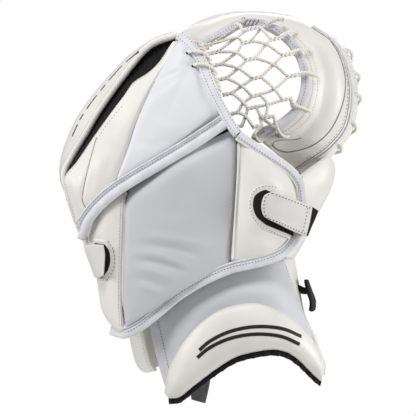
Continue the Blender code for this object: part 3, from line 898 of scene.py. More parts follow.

# %% [markdown]
# ## Web band
# The horseshoe of leather that carries the net. It is one long wall: a flat border beside the net,
# a valley, a smooth rolled channel, a tight fold and an outer lane. Grooves and humps follow lines
# drawn between the inner and the outer edge. It is one piece across the closing joint.

# %% Web band
WEB_FACE = (0.2, -1.0, 0.2)
TAPE_LIFT = 2.6
TAPE_SHARE = 0.35
UNDER_TAPE, BESIDE_TAPE = 4, 8


def on_web(share, first=0, last=None):
    """A line along the band at a share of its width, from the net's side to the rim."""
    return between(BAND_INNER, BAND_OUTER, share, first, last)


def crosses(item, slot, *nodes):
    """A piece on both halves of the glove, across the closing line. The slot is not used."""
    across = np.cross((CLOSE_HIGH - CLOSE_LOW), (0.0, 1.0, 0.0))
    across /= np.linalg.norm(across)
    across *= np.sign(across[0])
    if nodes:
        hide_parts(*nodes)
    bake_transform(item)
    PIECES[item.name] = item
    return item


FOLD_SEAM = [(93, 362), (105, 342), (111, 315), (107, 288), (94, 261), (75, 245), (51, 238),
    (38, 240), (31, 245)]
RIM_OF_WEB = [(-58, 371.5), (-36, 382.5), (-3, 388.5), (40, 386), (77, 375.5), (102.9, 355.5),
    (116.4, 326), (119.3, 297), (113.5, 265), (96, 242), (75, 227), (59, 217)]
band_relief = folds((on_web(0.40, 3), 6.0, -2.2), (on_web(0.64, 3), 10.0, 3.0),
    (FOLD_SEAM, 2.0, -2.2), (on_web(0.27, 2), 1.3, -0.6))
web_rows = [deep(BAND_INNER, -2), deep(between(BAND_INNER, BAND_FOLD, 0.5), 9),
    deep(BAND_FOLD, 24), deep(BAND_OUTER, 58), deep(RIM_OF_WEB, 78)]
web_band = leather_wall("web_band_leather", CREAM, web_rows, 8.0, WEB_FACE,
    relief=band_relief, across=72, along=190, edge=4.0)
web_grid = GRIDS["web_band_leather"]


def over_web(outline, count):
    return drape(outline, ["web_band_leather"], count)


# The band is laid on before it is declared, so that what lies on it can find it.
PIECES["web_band_leather"] = web_band
web_up = normals(web_grid, WEB_FACE)
inner_path = web_grid[:, 0] - FRONT * 2.0 * MM
inner_up = smooth(web_up[:, UNDER_TAPE], 6)
tape_reach = (web_grid[:, BESIDE_TAPE] - web_grid[:, 0]) * TAPE_SHARE
tape_path = inner_path + tape_reach + inner_up * TAPE_LIFT * MM
net_tape = sweep("net_tape", BIND, even(tape_path, 130), band_section(4.5, 5.0),
    even(inner_up, 130))
rim_edge = web_grid[:, -1]
rim_out = smooth(rim_edge - web_grid[:, -8], 6)
rim_tape = sweep("web_rim_tape", BIND_PALE, even(rim_edge, 150), band_section(5.6, 4.2),
    even(rim_out, 150))


def thread_on_web(name, line_and_out, finish=None, **sizes):
    line, out = line_and_out
    return crosses(stitches(name, finish or THREAD, line, out, **sizes), "beige_lace")


def dark_line_on_web(name, line_and_out, radius, slot):
    line, out = line_and_out
    crosses(sweep(name, THREAD_DARK, line, ellipse(radius, radius, 8), out), slot)


edge_line = over_web(on_web(0.955, 4), 140)
edge_tape = sweep("web_edge_tape", BIND_PALE, edge_line[0] + edge_line[1] * 0.6 * MM,
    band_section(3.0, 1.3), edge_line[1])
crosses(edge_tape, "bias_binding")
dark_line_on_web("web_edge_crease", over_web(on_web(0.895, 4), 140), 0.55, "bias_binding")
thread_on_web("net_tape_stitches", (even(tape_path + inner_up * 5.0 * MM, 130),
        even(inner_up, 130)), THREAD_DARK, pitch=3.4, length=1.6)
thread_on_web("web_stitches_inner", over_web(on_web(0.20, 2), 120), pitch=3.2)
thread_on_web("web_stitches_outer", over_web(on_web(0.29, 3), 120), pitch=3.2)
thread_on_web("web_lane_stitches", over_web(on_web(0.865, 5, 11), 90), THREAD_DARK, pitch=4.2,
    length=2.2)
FOLD_TURN = [(31.5, 245), (33.5, 248.5), (42, 250.5), (55, 251), (63, 253)]
# The thin dark cord in the fold's groove and at its lower turn is painted shadow, not thread.
dark_line_on_web("web_fold_painted_shadow", over_web(FOLD_SEAM, 90), 0.7, "black_lining")
dark_line_on_web("web_fold_turn_painted_shadow", over_web(FOLD_TURN, 40), 0.45, "black_lining")
crosses(net_tape, "bias_binding", "web_binding_finger", "web_binding_thumb")
tacks = []
for x in (-2, 2, 6, 10, 14):
    tack, tack_out = drape([(x - 1.5, 373.5), (x + 2.5, 380)], ["net_tape"], 10, lift=0.1)
    tacks.append(swept(tack, ellipse(0.55, 0.45, 8), tack_out))
crosses(joined("net_tape_tacks", THREAD_DARK, tacks), "beige_lace")
crosses(rim_tape, "bias_binding")

# %% [markdown]
# Short laces whip the rim. Each one lies on the outer lane, goes over the rim tape and comes back
# behind, so from any side it reads as one loop of cord. Their points are places on the band's
# grid, whose columns count from the net's side to the rim.

# %% Whip laces on the rim
LACE_SECTION = ellipse(2.1, 1.55, 8, 1.0)
WHIP_PLACES = (0.50, 0.555, 0.61, 0.675, 0.745, 0.83)
RIM_CLEARANCE = 6.6


def twist(path, turn_mm=7.0):
    """The angle turned so far at each point, at one full turn every turn_mm."""
    return lengths(path) / (turn_mm * MM) * 2 * math.pi


def lace(path, out=FRONT):
    """A flat lace that twists as it runs."""
    return swept(path, LACE_SECTION, out, spin=twist(path))


def web_spot(row, column, lift):
    """A point of the band's grid, lifted off its face by millimetres."""
    return web_grid[row, column] + web_up[row, column] * lift * MM


whips = []
for share in WHIP_PLACES:
    row = int(share * (len(web_grid) - 1))
    last = row + 3
    edge, lift = web_grid[last], web_up[last]
    outward = (edge[-1] - edge[-6]) / np.linalg.norm(edge[-1] - edge[-6])
    over = edge[-1] + outward * RIM_CLEARANCE * MM
    knots = [web_spot(row - 3, 44, -2.0), web_spot(row - 3, 47, 1.8), web_spot(row - 1, 54, 3.2),
        web_spot(row + 1, 61, 3.0), web_spot(last, -3, 4.6),
        over + lift[-1] * 3.0 * MM, over - lift[-1] * 3.0 * MM,
        web_spot(last, -3, -12.0), web_spot(last, 52, -10.5)]
    whips.append(lace(even(through(knots, np.linspace(0, 1, 40)), 34), lift[-1]))
crosses(joined("rim_whip_laces", LACE, whips), "beige_lace")
crosses(web_band, "cream_leather", "web_band_finger", "web_band_thumb")
print(len(whips), "whip laces")

# %% [markdown]
# ## Net
# The pocket's net is waxed lace. Two families of laces cross in a diamond pattern; in every other
# column they twist round each other once, which makes the short knots. So the net is built the same
# way: knots in columns B, D and F, plain crossings in columns C and E.

# %% Net columns
NET_B = [(-39, 352.4), (-33, 344), (-29, 331), (-23, 316), (-17, 300), (-11, 279), (-6, 265)]
NET_C = [(-4, 374), (-8, 360), (-8, 344), (-6, 327), (-2, 308), (0, 290), (2, 276)]
NET_D = [(9, 370), (3, 355), (7.5, 337), (14, 317), (13.5, 298), (9, 285), (15, 265)]
NET_E = [(19, 370), (24, 353), (32, 331), (33, 305), (25.5, 288), (18, 276)]
NET_F = [(34, 359), (46, 342), (52, 319), (46, 294), (28, 275)]
KNOT_HALF = 4.6
KNOT_REACH = 1.15
ROPE_RADIUS = 1.25
ROPE_APART = 1.35
ROPE_TURN = 9.0
CROSSING_LIFT = 1.4
KNOT_TILT = np.array([0.97, 0.0, 0.22])
NET_LEFT = -40
NET_TOP = 350
NET_SLANT = 0.45
NET_WIDTH = 95
NET_DEPTH = -9.0
NET_BULGE = 7.0


def net_depth(x, z):
    """The net bulges a little between the slanting index edge and the band."""
    share = (x - NET_LEFT + (z - NET_TOP) * NET_SLANT) / NET_WIDTH
    return NET_DEPTH - NET_BULGE * math.sin(math.pi * min(max(share, 0.0), 1.0))


def at_net(point, lift=0.0):
    x, z = point
    return np.array([x, net_depth(x, z) + lift, z])


def knot_end(point, side):
    return at_net(point) + side * KNOT_HALF * KNOT_TILT


net_parts = []


def net_lace(*knots, count=18):
    """One lace of the net, through points in millimetres."""
    path = even(through(np.array(knots) * MM, np.linspace(0, 1, count * 2)), count)
    net_parts.append(lace(path))


def rope(path):
    """Two laces laid round each other along a path."""
    side, up = frames(path, FRONT)
    angle = twist(path, ROPE_TURN)
    for start in (0.0, math.pi):
        turn = (angle + start)[:, None]
        strand = path + (side * np.cos(turn) + up * np.sin(turn)) * ROPE_APART * MM
        net_parts.append(swept(strand, ellipse(ROPE_RADIUS, ROPE_RADIUS, 7, 1.0)))


def knot(point):
    ends = np.array([knot_end(point, -KNOT_REACH), knot_end(point, KNOT_REACH)]) * MM
    rope(np.linspace(ends[0], ends[1], 18))


for column in (NET_B, NET_D, NET_F):
    for point in column:
        knot(point)
for left, crossing, right, shift in ((NET_B, NET_C, NET_D, -1), (NET_D, NET_E, NET_F, 0)):
    for i, point in enumerate(crossing):
        for start, stop, lift in ((i + shift, i, -CROSSING_LIFT),
                (i + shift + 1, i - 1, CROSSING_LIFT)):
            if 0 <= start < len(left) and 0 <= stop < len(right):
                net_lace(knot_end(left[start], 1), at_net(point, lift), knot_end(right[stop], -1))
net_lace(knot_end(NET_B[0], 1), at_net(NET_C[0], 0.5), (0, -8, 381))
net_lace(knot_end(NET_D[0], -1), at_net((-1, 368)), at_net(NET_C[0], 1.0), (-9, -8, 375))
net_lace(knot_end(NET_D[1], 1), at_net(NET_E[0], CROSSING_LIFT), (30, -10, 377),
    (38, -9, 380), (42, -2, 380))
net_lace(knot_end(NET_D[5], 1), at_net(NET_E[5], -CROSSING_LIFT), (27, -12, 268), (36, -10, 262))

# %% Ties from the net to the band
TIES = [(NET_F[0], (43, 364), (56, 367)), (NET_F[1], (55, 346), (72, 347)),
    (NET_F[2], (63, 323), (79, 319)), (NET_F[3], (55, 288), (72, 282)),
    (NET_F[4], (38, 259), (48, 255)), (NET_D[6], (12, 257), (19, 250))]
for point, turn, hole in TIES:
    hit, up_there = over_web([hole, (hole[0] + 1.0, hole[1])], 3)
    entry = hit[0] / MM
    normal = up_there[0]
    middle = ((turn[0], -13.0, turn[1]) + entry) / 2 + normal * 4.0
    net_lace(knot_end(point, 1), (turn[0], -13.5, turn[1]), middle,
        entry + normal * 1.2, entry - normal * 3.0 + (1.5, 0, 0), count=26)
    net_lace(knot_end(point, 1) + (0, 2.0, 0), (turn[0] - 2, -7.0, turn[1] - 3),
        (turn[0] + 3, 3.0, turn[1] - 4), (turn[0] + 9, 12.0, turn[1] - 3), count=18)
crosses(joined("pocket_net", LACE, net_parts), "beige_lace", "net_finger", "net_thumb")
print(len(net_parts), "strands in the net")

# %% [markdown]
# On the index side, a lace runs down beside the tape and its ends go over the tape into the
# eyelets. These strands ride with the hand alone.

# %% Laces on the index side
net_parts = []
side_lace = [(-46, -26, 352), (-38, -35, 336), (-31.5, -42, 318), (-26, -46, 304), (-27, -42, 294)]
rope(route(side_lace, 60))
for z_tape, eye in ((344, (-60, 342)), (330, (-54, 328))):
    hit, _ = drape([eye, (eye[0] + 1, eye[1])], ["upper_flap"], 3)
    entry = hit[0] / MM
    net_lace(entry + (0, 3, 0), entry + (3, -2.5, 1.5), (eye[0] + 10, entry[1] - 5.0, z_tape),
        (eye[0] + 19, entry[1] - 1.0, z_tape - 3),
        (eye[0] + 25, entry[1] + 6.0, z_tape - 10), count=24)
net_lace((-39, -9, 352), (-50, -20, 355), (-60, -26, 356), (-63, -22, 354))
net_lace((-38, -9, 349), (-46, -18, 349), (-53, -30, 347), (-56, -26, 345))
belongs(joined("index_laces", LACE, net_parts), "hand", "beige_lace")

# %% [markdown]
# ## Thumb side
# The thumb's panel is a wall like the finger band, thicker towards its folded rim. It shows to the
# right of the wing, under the web.

# %% Thumb panel and rim
THUMB_FRONT = [(36, 128), (45, 149), (52, 175), (56, 196), (58, 211)]
THUMB_OUTSIDE = [(51, 122), (63, 144), (76, 170), (88.5, 194), (95, 214), (93, 232)]
THUMB_RIM = [(49, 122), (61, 144), (73, 168), (84, 191), (89, 210), (88, 228)]
thumb_wall = leather_wall("thumb_wall", CREAM, [deep(THUMB_FRONT, -22, -20),
        deep(shifted(THUMB_OUTSIDE, -5), 4, 6), deep(THUMB_OUTSIDE, 36, 40), deep(THUMB_RIM, 62)],
    8.0, (1.0, -0.5, 0.0), puff=1.2, across=40, along=60, edge=4.5)
belongs(thumb_wall, "thumb", "cream_leather", "thumb_panel")
thumb_roll = sweep("thumb_rim_roll", CREAM_SHADE, route(deep(THUMB_RIM, 73.5), 50),
    ellipse(7, 7, 18, 0.9), (1.0, 0.0, 0.0))
belongs(thumb_roll, "thumb", "cream_leather", "thumb_rim")
stitch_row("thumb_wall_stitches", "thumb", inset("thumb_wall", "left", 6.0, 0.04, 0.96))
stitch_row("thumb_rim_stitches", "thumb", inset("thumb_wall", "right", 8.0, 0.04, 0.96))

# %% [markdown]
# ## Lower pads
# Three panels cover the wrist: a cream strip, a grey centre and the cream wing. They tuck under
# the diagonal roll, so their top edges run just behind its middle.

# %% Lower pads
strip_left = [(-169, 151), (-163.5, 128), (-158, 106), (-155, 88), (-152, 70), (-146, 58),
    (-139, 49)]
strip_right = [(-125, 200), (-127, 178), (-128, 152), (-129, 124), (-130, 98), (-130, 74),
    (-128, 47)]
strip_middle = [(-151, 183), (-147, 160), (-144, 134), (-142, 112), (-141, 88), (-138, 66),
    (-134, 46)]
pad_left = pad("lower_left_panel", CREAM, [deep(strip_left, -37, -43), deep(strip_middle, -50),
        deep(strip_right, -53, -56)], 13, roll=3.0, puff=2.0,
    dips={"right": (1.0, 3.0), "top": (4.5, 9.0)}, across=30, along=80)
belongs(pad_left, "back_pad", "cream_leather", "lower_pad_left")
centre_left = [(-124, 200), (-127, 178), (-128, 152), (-129, 124), (-130, 98), (-129, 74),
    (-126, 49)]
centre_middle = [(-66, 235), (-68, 208), (-70, 182), (-72, 156), (-74, 130), (-76, 108), (-78, 82)]
centre_right = [(-8, 262), (-8, 236), (-9, 210), (-10.5, 184), (-12, 160), (-14, 138), (-15, 119)]
# The centre panel's darker grey is painted shade on the flap's grey fabric.
pad_centre = pad("lower_centre_panel", GREY_PAINTED_SHADE,
    [deep(centre_left, -52, -56), deep(centre_middle, -63, -66),
        deep(centre_right, -54, -58)], 13, roll=2.2, puff=3.0,
    dips={"right": (0.8, 4.0), "left": (1.2, 4.0), "top": (7.0, 13.0)}, across=70, along=90,
    relief=folds(([(-107, 148), (-70, 143), (-33, 136)], 4.5, 1.3),
        ([(-110, 140), (-78, 135), (-44, 126)], 3.4, -1.7),
        ([(-115, 131), (-86, 125), (-58, 115)], 3.8, 1.7),
        ([(-115, 123), (-88, 118), (-61, 109)], 3.0, -1.8),
        ([(-115, 114), (-94, 109), (-73, 101)], 3.4, 1.5),
        ([(-115, 104), (-98, 99), (-79, 92)], 3.0, -1.5),
        ([(-115, 95), (-101, 91), (-87, 85)], 3.0, 1.0),
        ([(-40, 236), (-44, 190), (-36, 150)], 14.0, 1.2),
        ([(-60, 214), (-72, 180), (-70, 160)], 9.0, -0.7)))
belongs(pad_centre, "back_pad", "grey_fabric", "lower_pad_centre")
wing_left = [(-6.5, 249), (-7, 234), (-8, 210), (-9.5, 184), (-11, 160), (-13, 140), (-14, 119)]
wing_middle = [(18, 233), (26, 216), (26, 196), (24, 176), (22, 158), (20, 140), (16, 124)]
wing_right = [(38, 219.5), (50, 209.5), (57, 198), (59.5, 186), (60, 174), (58, 158),
    (53, 144), (42, 130)]
pad_wing = pad("wing_panel", CREAM,
    [deep(wing_left, -54, -58), deep(wing_middle, -55, -60, -60, -56),
        deep(wing_right, -40, -36, -33, -32, -33, -36, -42, -48)], 13, roll=3.0,
    puff=3.0, dips={"left": (0.5, 3.0)}, across=44, along=80,
    relief=folds(([(4, 226), (26, 206), (48, 196)], 7.0, 0.9),
        ([(2, 150), (20, 146), (44, 140)], 6.0, -0.8),
        ([(-2, 196), (4, 172), (8, 150)], 7.0, 0.6)))
belongs(pad_wing, "back_pad", "cream_leather", "lower_pad_wing")

# %% [markdown]
# Each long seam between the pads is a dark stitch line with a light piping beside it. They are
# laid on the finished panels, as the eye sees them from behind the hand.

# %% Seams of the lower pads
LOWER_PANELS = ["lower_left_panel", "lower_centre_panel", "wing_panel"]


def over_lower(outline, count=90, lift=0.0):
    return drape(outline, LOWER_PANELS, count, lift=lift)


left_seam = [(-127.5, 194), (-129.5, 160), (-130.5, 120), (-131, 80), (-130, 52)]
right_seam = [(-7.5, 246), (-8.0, 218), (-10, 184), (-12.3, 150), (-14.5, 122)]
seam("left_seam_groove", "back_pad", "bias_binding", THREAD, over_lower(left_seam), 0.5)
seam("left_seam_piping", "back_pad", "bias_binding", GREY,
    over_lower(shifted(left_seam, 2.2), lift=0.2), 1.2)
seam("right_seam_piping", "back_pad", "cream_leather", CREAM,
    (route(deep(shifted(right_seam, 1.6), -55.5, -59.0), 90), FRONT), 1.5)
seam("right_seam_groove", "back_pad", "bias_binding", THREAD_DARK,
    (route(deep(shifted(right_seam, -0.3), -56.2, -59.8), 90), FRONT), 0.5)
stitch_row("right_seam_stitches", "back_pad", over_lower(shifted(right_seam, -3.2), lift=0.1),
    BIND, pitch=3.4, length=1.8)
stitch_row("left_seam_stitches", "back_pad", over_lower(shifted(left_seam, -2.4), lift=0.1),
    pitch=3.4)

# %% Bindings of the lower pads
WING_EDGE = [(-6.5, 254.5), (8.6, 244.5), (25, 234), (40, 224.5), (52, 214.5), (59.5, 203),
    (62, 191), (63, 178), (62, 164), (59, 152)]
wing_path = route(deep(WING_EDGE, -57, -52, -46, -40, -36, -34, -32, -32, -34, -38), 130)
wing_out = (0.35, -1.0, 0.05)
belongs(sweep("wing_tape", BIND_PALE, wing_path, band_section(4.6, 3.8), wing_out), "back_pad",
    "bias_binding", "wing_binding")
wing_up = frames(wing_path, wing_out)[1]
stitch_row("wing_tape_stitches", "back_pad",
    (beside(wing_path, wing_out, 2.6) + wing_up * 3.8 * MM, wing_up), THREAD_DARK,
    pitch=3.4, length=1.7)
wing_piping = beside(wing_path, wing_out, 5.4) + wing_up * 1.6 * MM
seam("wing_piping", "back_pad", "cream_leather", CREAM, (wing_piping, wing_up), 1.3)
BOTTOM_EDGE = [(60, 158), (56, 146), (49, 136), (39, 127.5), (24, 121.5), (6, 117),
    (-14, 112.5), (-41, 101), (-68, 85), (-90, 67), (-109, 52), (-126, 43.5), (-140, 46)]
bottom_path = route(deep(BOTTOM_EDGE, -37, -40, -44, -47, -50, -53, -55, -56, -56, -55, -52,
        -48, -36), 170)
belongs(sweep("bottom_tape", BIND_PALE, bottom_path, band_section(5.3, 4.4)), "back_pad",
    "bias_binding", "bottom_binding")
bottom_inner = beside(bottom_path, FRONT, 5.9)[14:-4] + FRONT * 4.2 * MM
seam("bottom_piping", "back_pad", "bias_binding", BIND_PALE, (bottom_inner, FRONT), 1.2)
stitch_row("bottom_stitches", "back_pad",
    (beside(bottom_path, FRONT, 1.6) + FRONT * 4.5 * MM, FRONT), THREAD_DARK,
    pitch=3.4, length=1.8)
LEFT_BACK = [(-163, 136), (-158, 112), (-153, 84), (-148, 62), (-138, 50)]
RIGHT_BACK = [(50, 210), (57, 192), (58, 172), (50, 152), (36, 137)]
backing = leather_wall("lower_pad_backing", BLACK, [deep(LEFT_BACK, -28, -32),
        deep([(-126, 192), (-128, 160), (-129, 122), (-129, 84), (-126, 54)], -37, -41),
        deep([(-66, 228), (-68, 190), (-70, 154), (-72, 118), (-78, 84)], -40, -43),
        deep([(-8, 252), (-8, 222), (-10, 188), (-12, 156), (-14, 125)], -39, -43),
        deep(RIGHT_BACK, -24, -28)], 2.0, across=30, along=30, edge=1.0)
belongs(backing, "back_pad", "black_lining")
print("lower pads and bindings done")

# %% [markdown]
# ## Straps
# Each strap is a leather tab over a black loop patch. The patch is let into the pad, with a
# stitched leather ring round it. The tab has a rounded end and a row of stitch holes.

# %% Right strap


def patch_on(name, finish, outline_left, outline_right, thick, lift, slot, *nodes):
    """A thin patch that follows the lower pads, between two upright outlines."""
    rows = []
    for share in (0.0, 0.33, 0.67, 1.0):
        line, _ = over_lower(between(outline_left, outline_right, share), 9, lift)
        rows.append([tuple(point / MM) for point in line])
    item = pad(name, finish, rows, thick, roll=min(0.8, thick / 2), puff=0.2, across=14, along=24)
    return belongs(item, "back_pad", slot, *nodes)


patch_on("right_patch_surround", CREAM, [(20, 202), (9, 196), (5, 181), (9, 165), (20, 154)],
    [(44, 194), (47, 186), (49, 173), (50, 159), (49, 142)], 1.6, 1.0, "cream_leather")
patch_on("right_hook_patch", HOOK, [(22, 196.5), (12.5, 191), (9.5, 180), (13, 168), (23, 159)],
    [(40, 189), (45, 182), (48, 172), (50, 160), (51.5, 147)], 1.6, 2.4,
    "black_hook_and_loop", "right_loop_patch")
stitch_row("right_patch_stitches", "back_pad",
    over_lower([(34, 199), (20, 200), (10, 194), (6.5, 181), (10, 167), (22, 156),
            (47, 144)], 90, 1.9), THREAD_DARK, pitch=3.6, length=1.5)
tab_rows = [
    deep([(30, 194.5), (21, 190), (18, 179), (20, 169.5), (26, 164.5)],
        -68.5, -69.5, -70, -70, -69),
    deep([(37, 192.5), (34, 186), (33, 177), (33, 167), (35, 160.5)], -69),
    deep([(54, 186), (53, 178.5), (51.5, 170), (50, 161.5), (49, 153.5)], -61),
    deep([(73, 178.5), (71.5, 170), (70, 162), (68, 154), (66, 146.5)], -50)]
right_tab = pad("right_tab", TAB_LEATHER, tab_rows, 3.6, roll=1.4, puff=0.5, across=40, along=26)
belongs(right_tab, "right_strap", "strap_leather", "right_strap_tab")
for row_name, side, inside, first, last, radius in (
        ("holes_top", "top", 3.4, 0.10, 0.96, 0.55),
        ("holes_bottom", "bottom", 3.4, 0.10, 0.96, 0.55),
        ("holes_left", "left", 3.4, 0.1, 0.9, 0.55), ("box", "right", 7.0, 0.12, 0.88, 0.5)):
    stitch_row(f"right_tab_{row_name}", "right_strap",
        inset("right_tab", side, inside, first, last), BLACK, pitch=3.6, length=1.3,
        radius=radius, lift=0.05)
webbing_end = pad("right_webbing", BLACK,
    [deep([(72, 179), (70, 170), (68, 160), (65.5, 147.5)], -47),
        deep([(79.5, 174), (76, 165), (72, 156), (68.5, 147)], -40)], 3.0,
    roll=1.0, puff=0.3, across=8, along=16)
belongs(webbing_end, "right_strap", "black_lining", "right_strap_webbing")

# %% Left strap
patch_on("left_patch_surround", CREAM,
    [(-160, 144), (-158, 132), (-157, 122), (-156, 112), (-155, 100)],
    [(-147, 143), (-140.5, 133), (-139, 123), (-140.5, 112), (-147, 100)], 1.4, 0.9,
    "cream_leather")
patch_on("left_hook_patch", HOOK,
    [(-158, 140), (-158, 131), (-157, 122), (-156, 113), (-155, 103)],
    [(-147.5, 138.5), (-143, 132), (-141.5, 123), (-143, 113), (-149.5, 103)], 1.4, 2.0,
    "black_hook_and_loop", "left_loop_patch")
stitch_row("left_patch_stitches", "back_pad",
    over_lower([(-145, 143), (-139, 133), (-137, 122), (-139, 111), (-146, 99)], 50,
        1.0), THREAD_DARK, pitch=3.8, length=1.8)
left_tab = pad("left_tab", TAB_LEATHER,
    [deep([(-171, 137), (-168, 127), (-163, 114), (-159, 103)], -46, -48),
        deep([(-160, 138.5), (-158, 127), (-156, 114), (-154, 103)], -55),
        deep([(-149, 138), (-147.5, 128), (-148, 115), (-149, 105)], -61)],
    3.6, roll=1.4, puff=0.5, across=20, along=24)
belongs(left_tab, "left_strap", "strap_leather", "left_strap_tab")
print("straps done")

# %% [markdown]
# ## Cuff
# The wrist guard is a curved plate covered in smooth grey fabric, with a soft ridge that follows
# the crescent pad below it. Cream side panels and a board close the cuff round the wrist.

# %% Wrist guard
GUARD_ROWS = [
    [(-103, -20, 82), (-101, -20, 64), (-98, -20, 40), (-92, -20, 14), (-86, -22, -8),
        (-81, -22, -22)],
    [(-76, -32, 100), (-74, -37, 78), (-68, -41, 50), (-61, -42, 26), (-54, -42, 8),
        (-48, -42, -4)],
    [(-28, -34, 119), (-24, -44, 88), (-17, -49, 64), (-9, -51, 46), (-3, -51, 34), (2, -51, 24)],
    [(18, -29, 122), (24, -40, 96), (33, -44, 72), (41, -46, 54), (44, -46, 40), (46, -45, 26)],
    [(43, -16, 121), (49, -16, 98), (57, -16, 76), (66, -16, 54), (76, -16, 28), (80, -16, -2)]]
RIDGE = [(-64, 40), (-48, 64), (-28, 78), (-2, 86), (20, 85), (40, 77), (54, 64)]
guard_plate = leather_wall("guard_plate", GREY_CUFF, GUARD_ROWS, 6.0, puff=1.0,
    across=60, along=56, edge=3.0,
    relief=folds((RIDGE, 6.0, 0.8),
        ([(-90, 70), (-84, 40), (-78, 10)], 3.0, -1.2)))
belongs(guard_plate, "cuff", "grey_fabric", "wrist_guard", "cuff_ridge")
stitch_row("guard_plate_stitches", "cuff",
    drape([(-93, 60), (-88, 40), (-83, 18), (-78, -4)], ["guard_plate"], 50),
    THREAD_DARK, pitch=3.2)

# %% Side panels and board
cuff_left = leather_wall("cuff_left_panel", CREAM,
    [deep([(-109, 80), (-107, 50), (-101, 16), (-94, 2)], -14, -18),
        deep([(-119, 80), (-119, 40), (-112, 12), (-102, 0)], 2),
        deep([(-121, 80), (-121, 40), (-114, 8), (-104, -1)], 22)],
    5.0, (-1.0, -0.4, 0.0), puff=0.6, across=24, along=36, edge=2.5)
belongs(cuff_left, "cuff", "cream_leather", "cuff_left_side")
cuff_right = leather_wall("cuff_right_panel", CREAM,
    [deep([(38, 123), (49, 92), (60, 63), (76, 36), (83, 10)], -10, -13),
        deep([(52, 123), (57, 94), (63, 64), (74, 38), (81, 12)], 4, 2),
        deep([(52, 118), (58, 80), (64, 52), (68, 30)], 27)],
    5.0, (1.0, -0.4, 0.0), puff=0.6, across=26, along=44, edge=2.5)
belongs(cuff_right, "cuff", "cream_leather", "cuff_right_side")
stitch_row("cuff_right_stitches", "cuff", inset("cuff_right_panel", "left", 5.0, 0.1, 0.95))
stitch_row("cuff_left_stitches", "cuff", inset("cuff_left_panel", "left", 5.0, 0.05, 0.95))
BOARD_DEPTH = 24
BOARD_EDGES = [[(-117, 80), (-117, 30), (-108, 8), (-98, 3)],
    [(-30, 84), (-30, 50), (-30, 28), (-30, 18)], [(48, 88), (56, 66), (60, 50), (62, 30)]]
board = pad("cuff_board_cover", CREAM_SHADE, [deep(edge, BOARD_DEPTH) for edge in BOARD_EDGES],
    6.0, roll=1.6, puff=0.3, across=40, along=30)
belongs(board, "cuff", "cream_leather", "cuff_board")

# %% [markdown]
# The crescent pad is stuffed full, with a rounded top edge and an arch below. Its front is printed
# with two plain stripes: a neutral pattern, laid on the surface as very flat strips.

# %% Crescent pad
CRESCENT_TOP = [(-84, -20), (-79, 6), (-66, 31), (-49, 52), (-27, 68), (-3, 75), (16, 75),
    (40, 66), (59, 51), (76, 31), (86, 11), (86, 0)]
CRESCENT_ARCH = [(-80, -26), (-68, -24), (-52, -11), (-30, 6), (-9, 19), (13, 25), (31, 27),
    (45, 24), (57, 16), (67, 6), (76, -3), (82, -8)]
CRESCENT_DEPTH = [-42, -50, -58, -64, -67, -69, -68, -64, -58, -49, -40, -34]
rows = []
for share, forward in ((0.0, 0.0), (0.10, 3.4), (0.28, 6.2), (0.5, 7.6), (0.72, 6.4),
        (0.9, 3.4), (1.0, 0.0)):
    depths = [y - forward for y in CRESCENT_DEPTH]
    rows.append(deep(between(CRESCENT_TOP, CRESCENT_ARCH, share), *depths))
crescent = pad("crescent", CREAM, rows, 10, roll=3.4, puff=0.6, across=44, along=130,
    relief=folds(([(-62, -8), (-44, 14), (-20, 32)], 5.0, 0.5),
        (between(CRESCENT_TOP, CRESCENT_ARCH, 0.88, 2, 10), 3.0, -0.5)))
belongs(crescent, "cuff", "cream_leather", "crescent_pad")
seam("crescent_piping", "cuff", "cream_leather", CREAM, inset("crescent", "left", 2.4), 1.0)
stitch_row("crescent_stitches", "cuff", inset("crescent", "right", 4.2, 0.03, 0.97))

# %% Plain stripes on the crescent
STRIPE = [(-50, 17), (-38, 27), (-20, 36), (0, 41), (20, 42), (40, 39), (58, 31)]
stripes = []
for offset in (2.0, 10.0):
    line, out = drape([(x + offset * 0.25, z + offset) for x, z in STRIPE], ["crescent"], 120,
        lift=0.12)
    stripes.append(swept(line, band_section(1.9, 0.25), out))
belongs(joined("crescent_stripes", PRINT, stripes), "cuff", "black_lining")

# %% Wavy lining under the arch
lining_grid = [deep(shifted(CRESCENT_ARCH, 0, rise), *[y + back for y in CRESCENT_DEPTH])
    for rise, back in ((1.0, 5), (-2.6, 4), (-5.6, 7))]


def wavy(grid):
    along_edge = side_distances(grid)["top"] / MM
    return 0.7 * np.sin(along_edge / 1.9) + 0.4 * np.sin(along_edge / 0.83 + 1.0)


arch_lining = leather_wall("arch_lining", BLACK, lining_grid, 4.4, (0.0, -1.0, -0.3),
    relief=wavy, across=14, along=260, edge=2.2)
belongs(arch_lining, "cuff", "black_lining", "cuff_lining")

# %% [markdown]
# ## Small straps of the cuff
# Webbing and hook tape are thin walls with their own weave. The hook tab stands on a thicker root.

# %% Wrist strap, tab and tail
strap_wall = leather_wall("wrist_strap_web", BLACK,
    [[(-60, 12, 62), (-20, 14, 68), (20, 14, 74), (46, 10, 78)],
        [(-60, 12, 84), (-20, 14, 90), (20, 14, 96), (44, 10, 98)]], 2.0,
    across=10, along=40, edge=1.0)
belongs(strap_wall, "cuff", "black_lining", "wrist_strap")


def fuzzy_edge(grid):
    sides = side_distances(grid)
    return 0.35 * np.sin(sides["left"] / (0.9 * MM)) * np.sin(sides["top"] / (0.9 * MM))


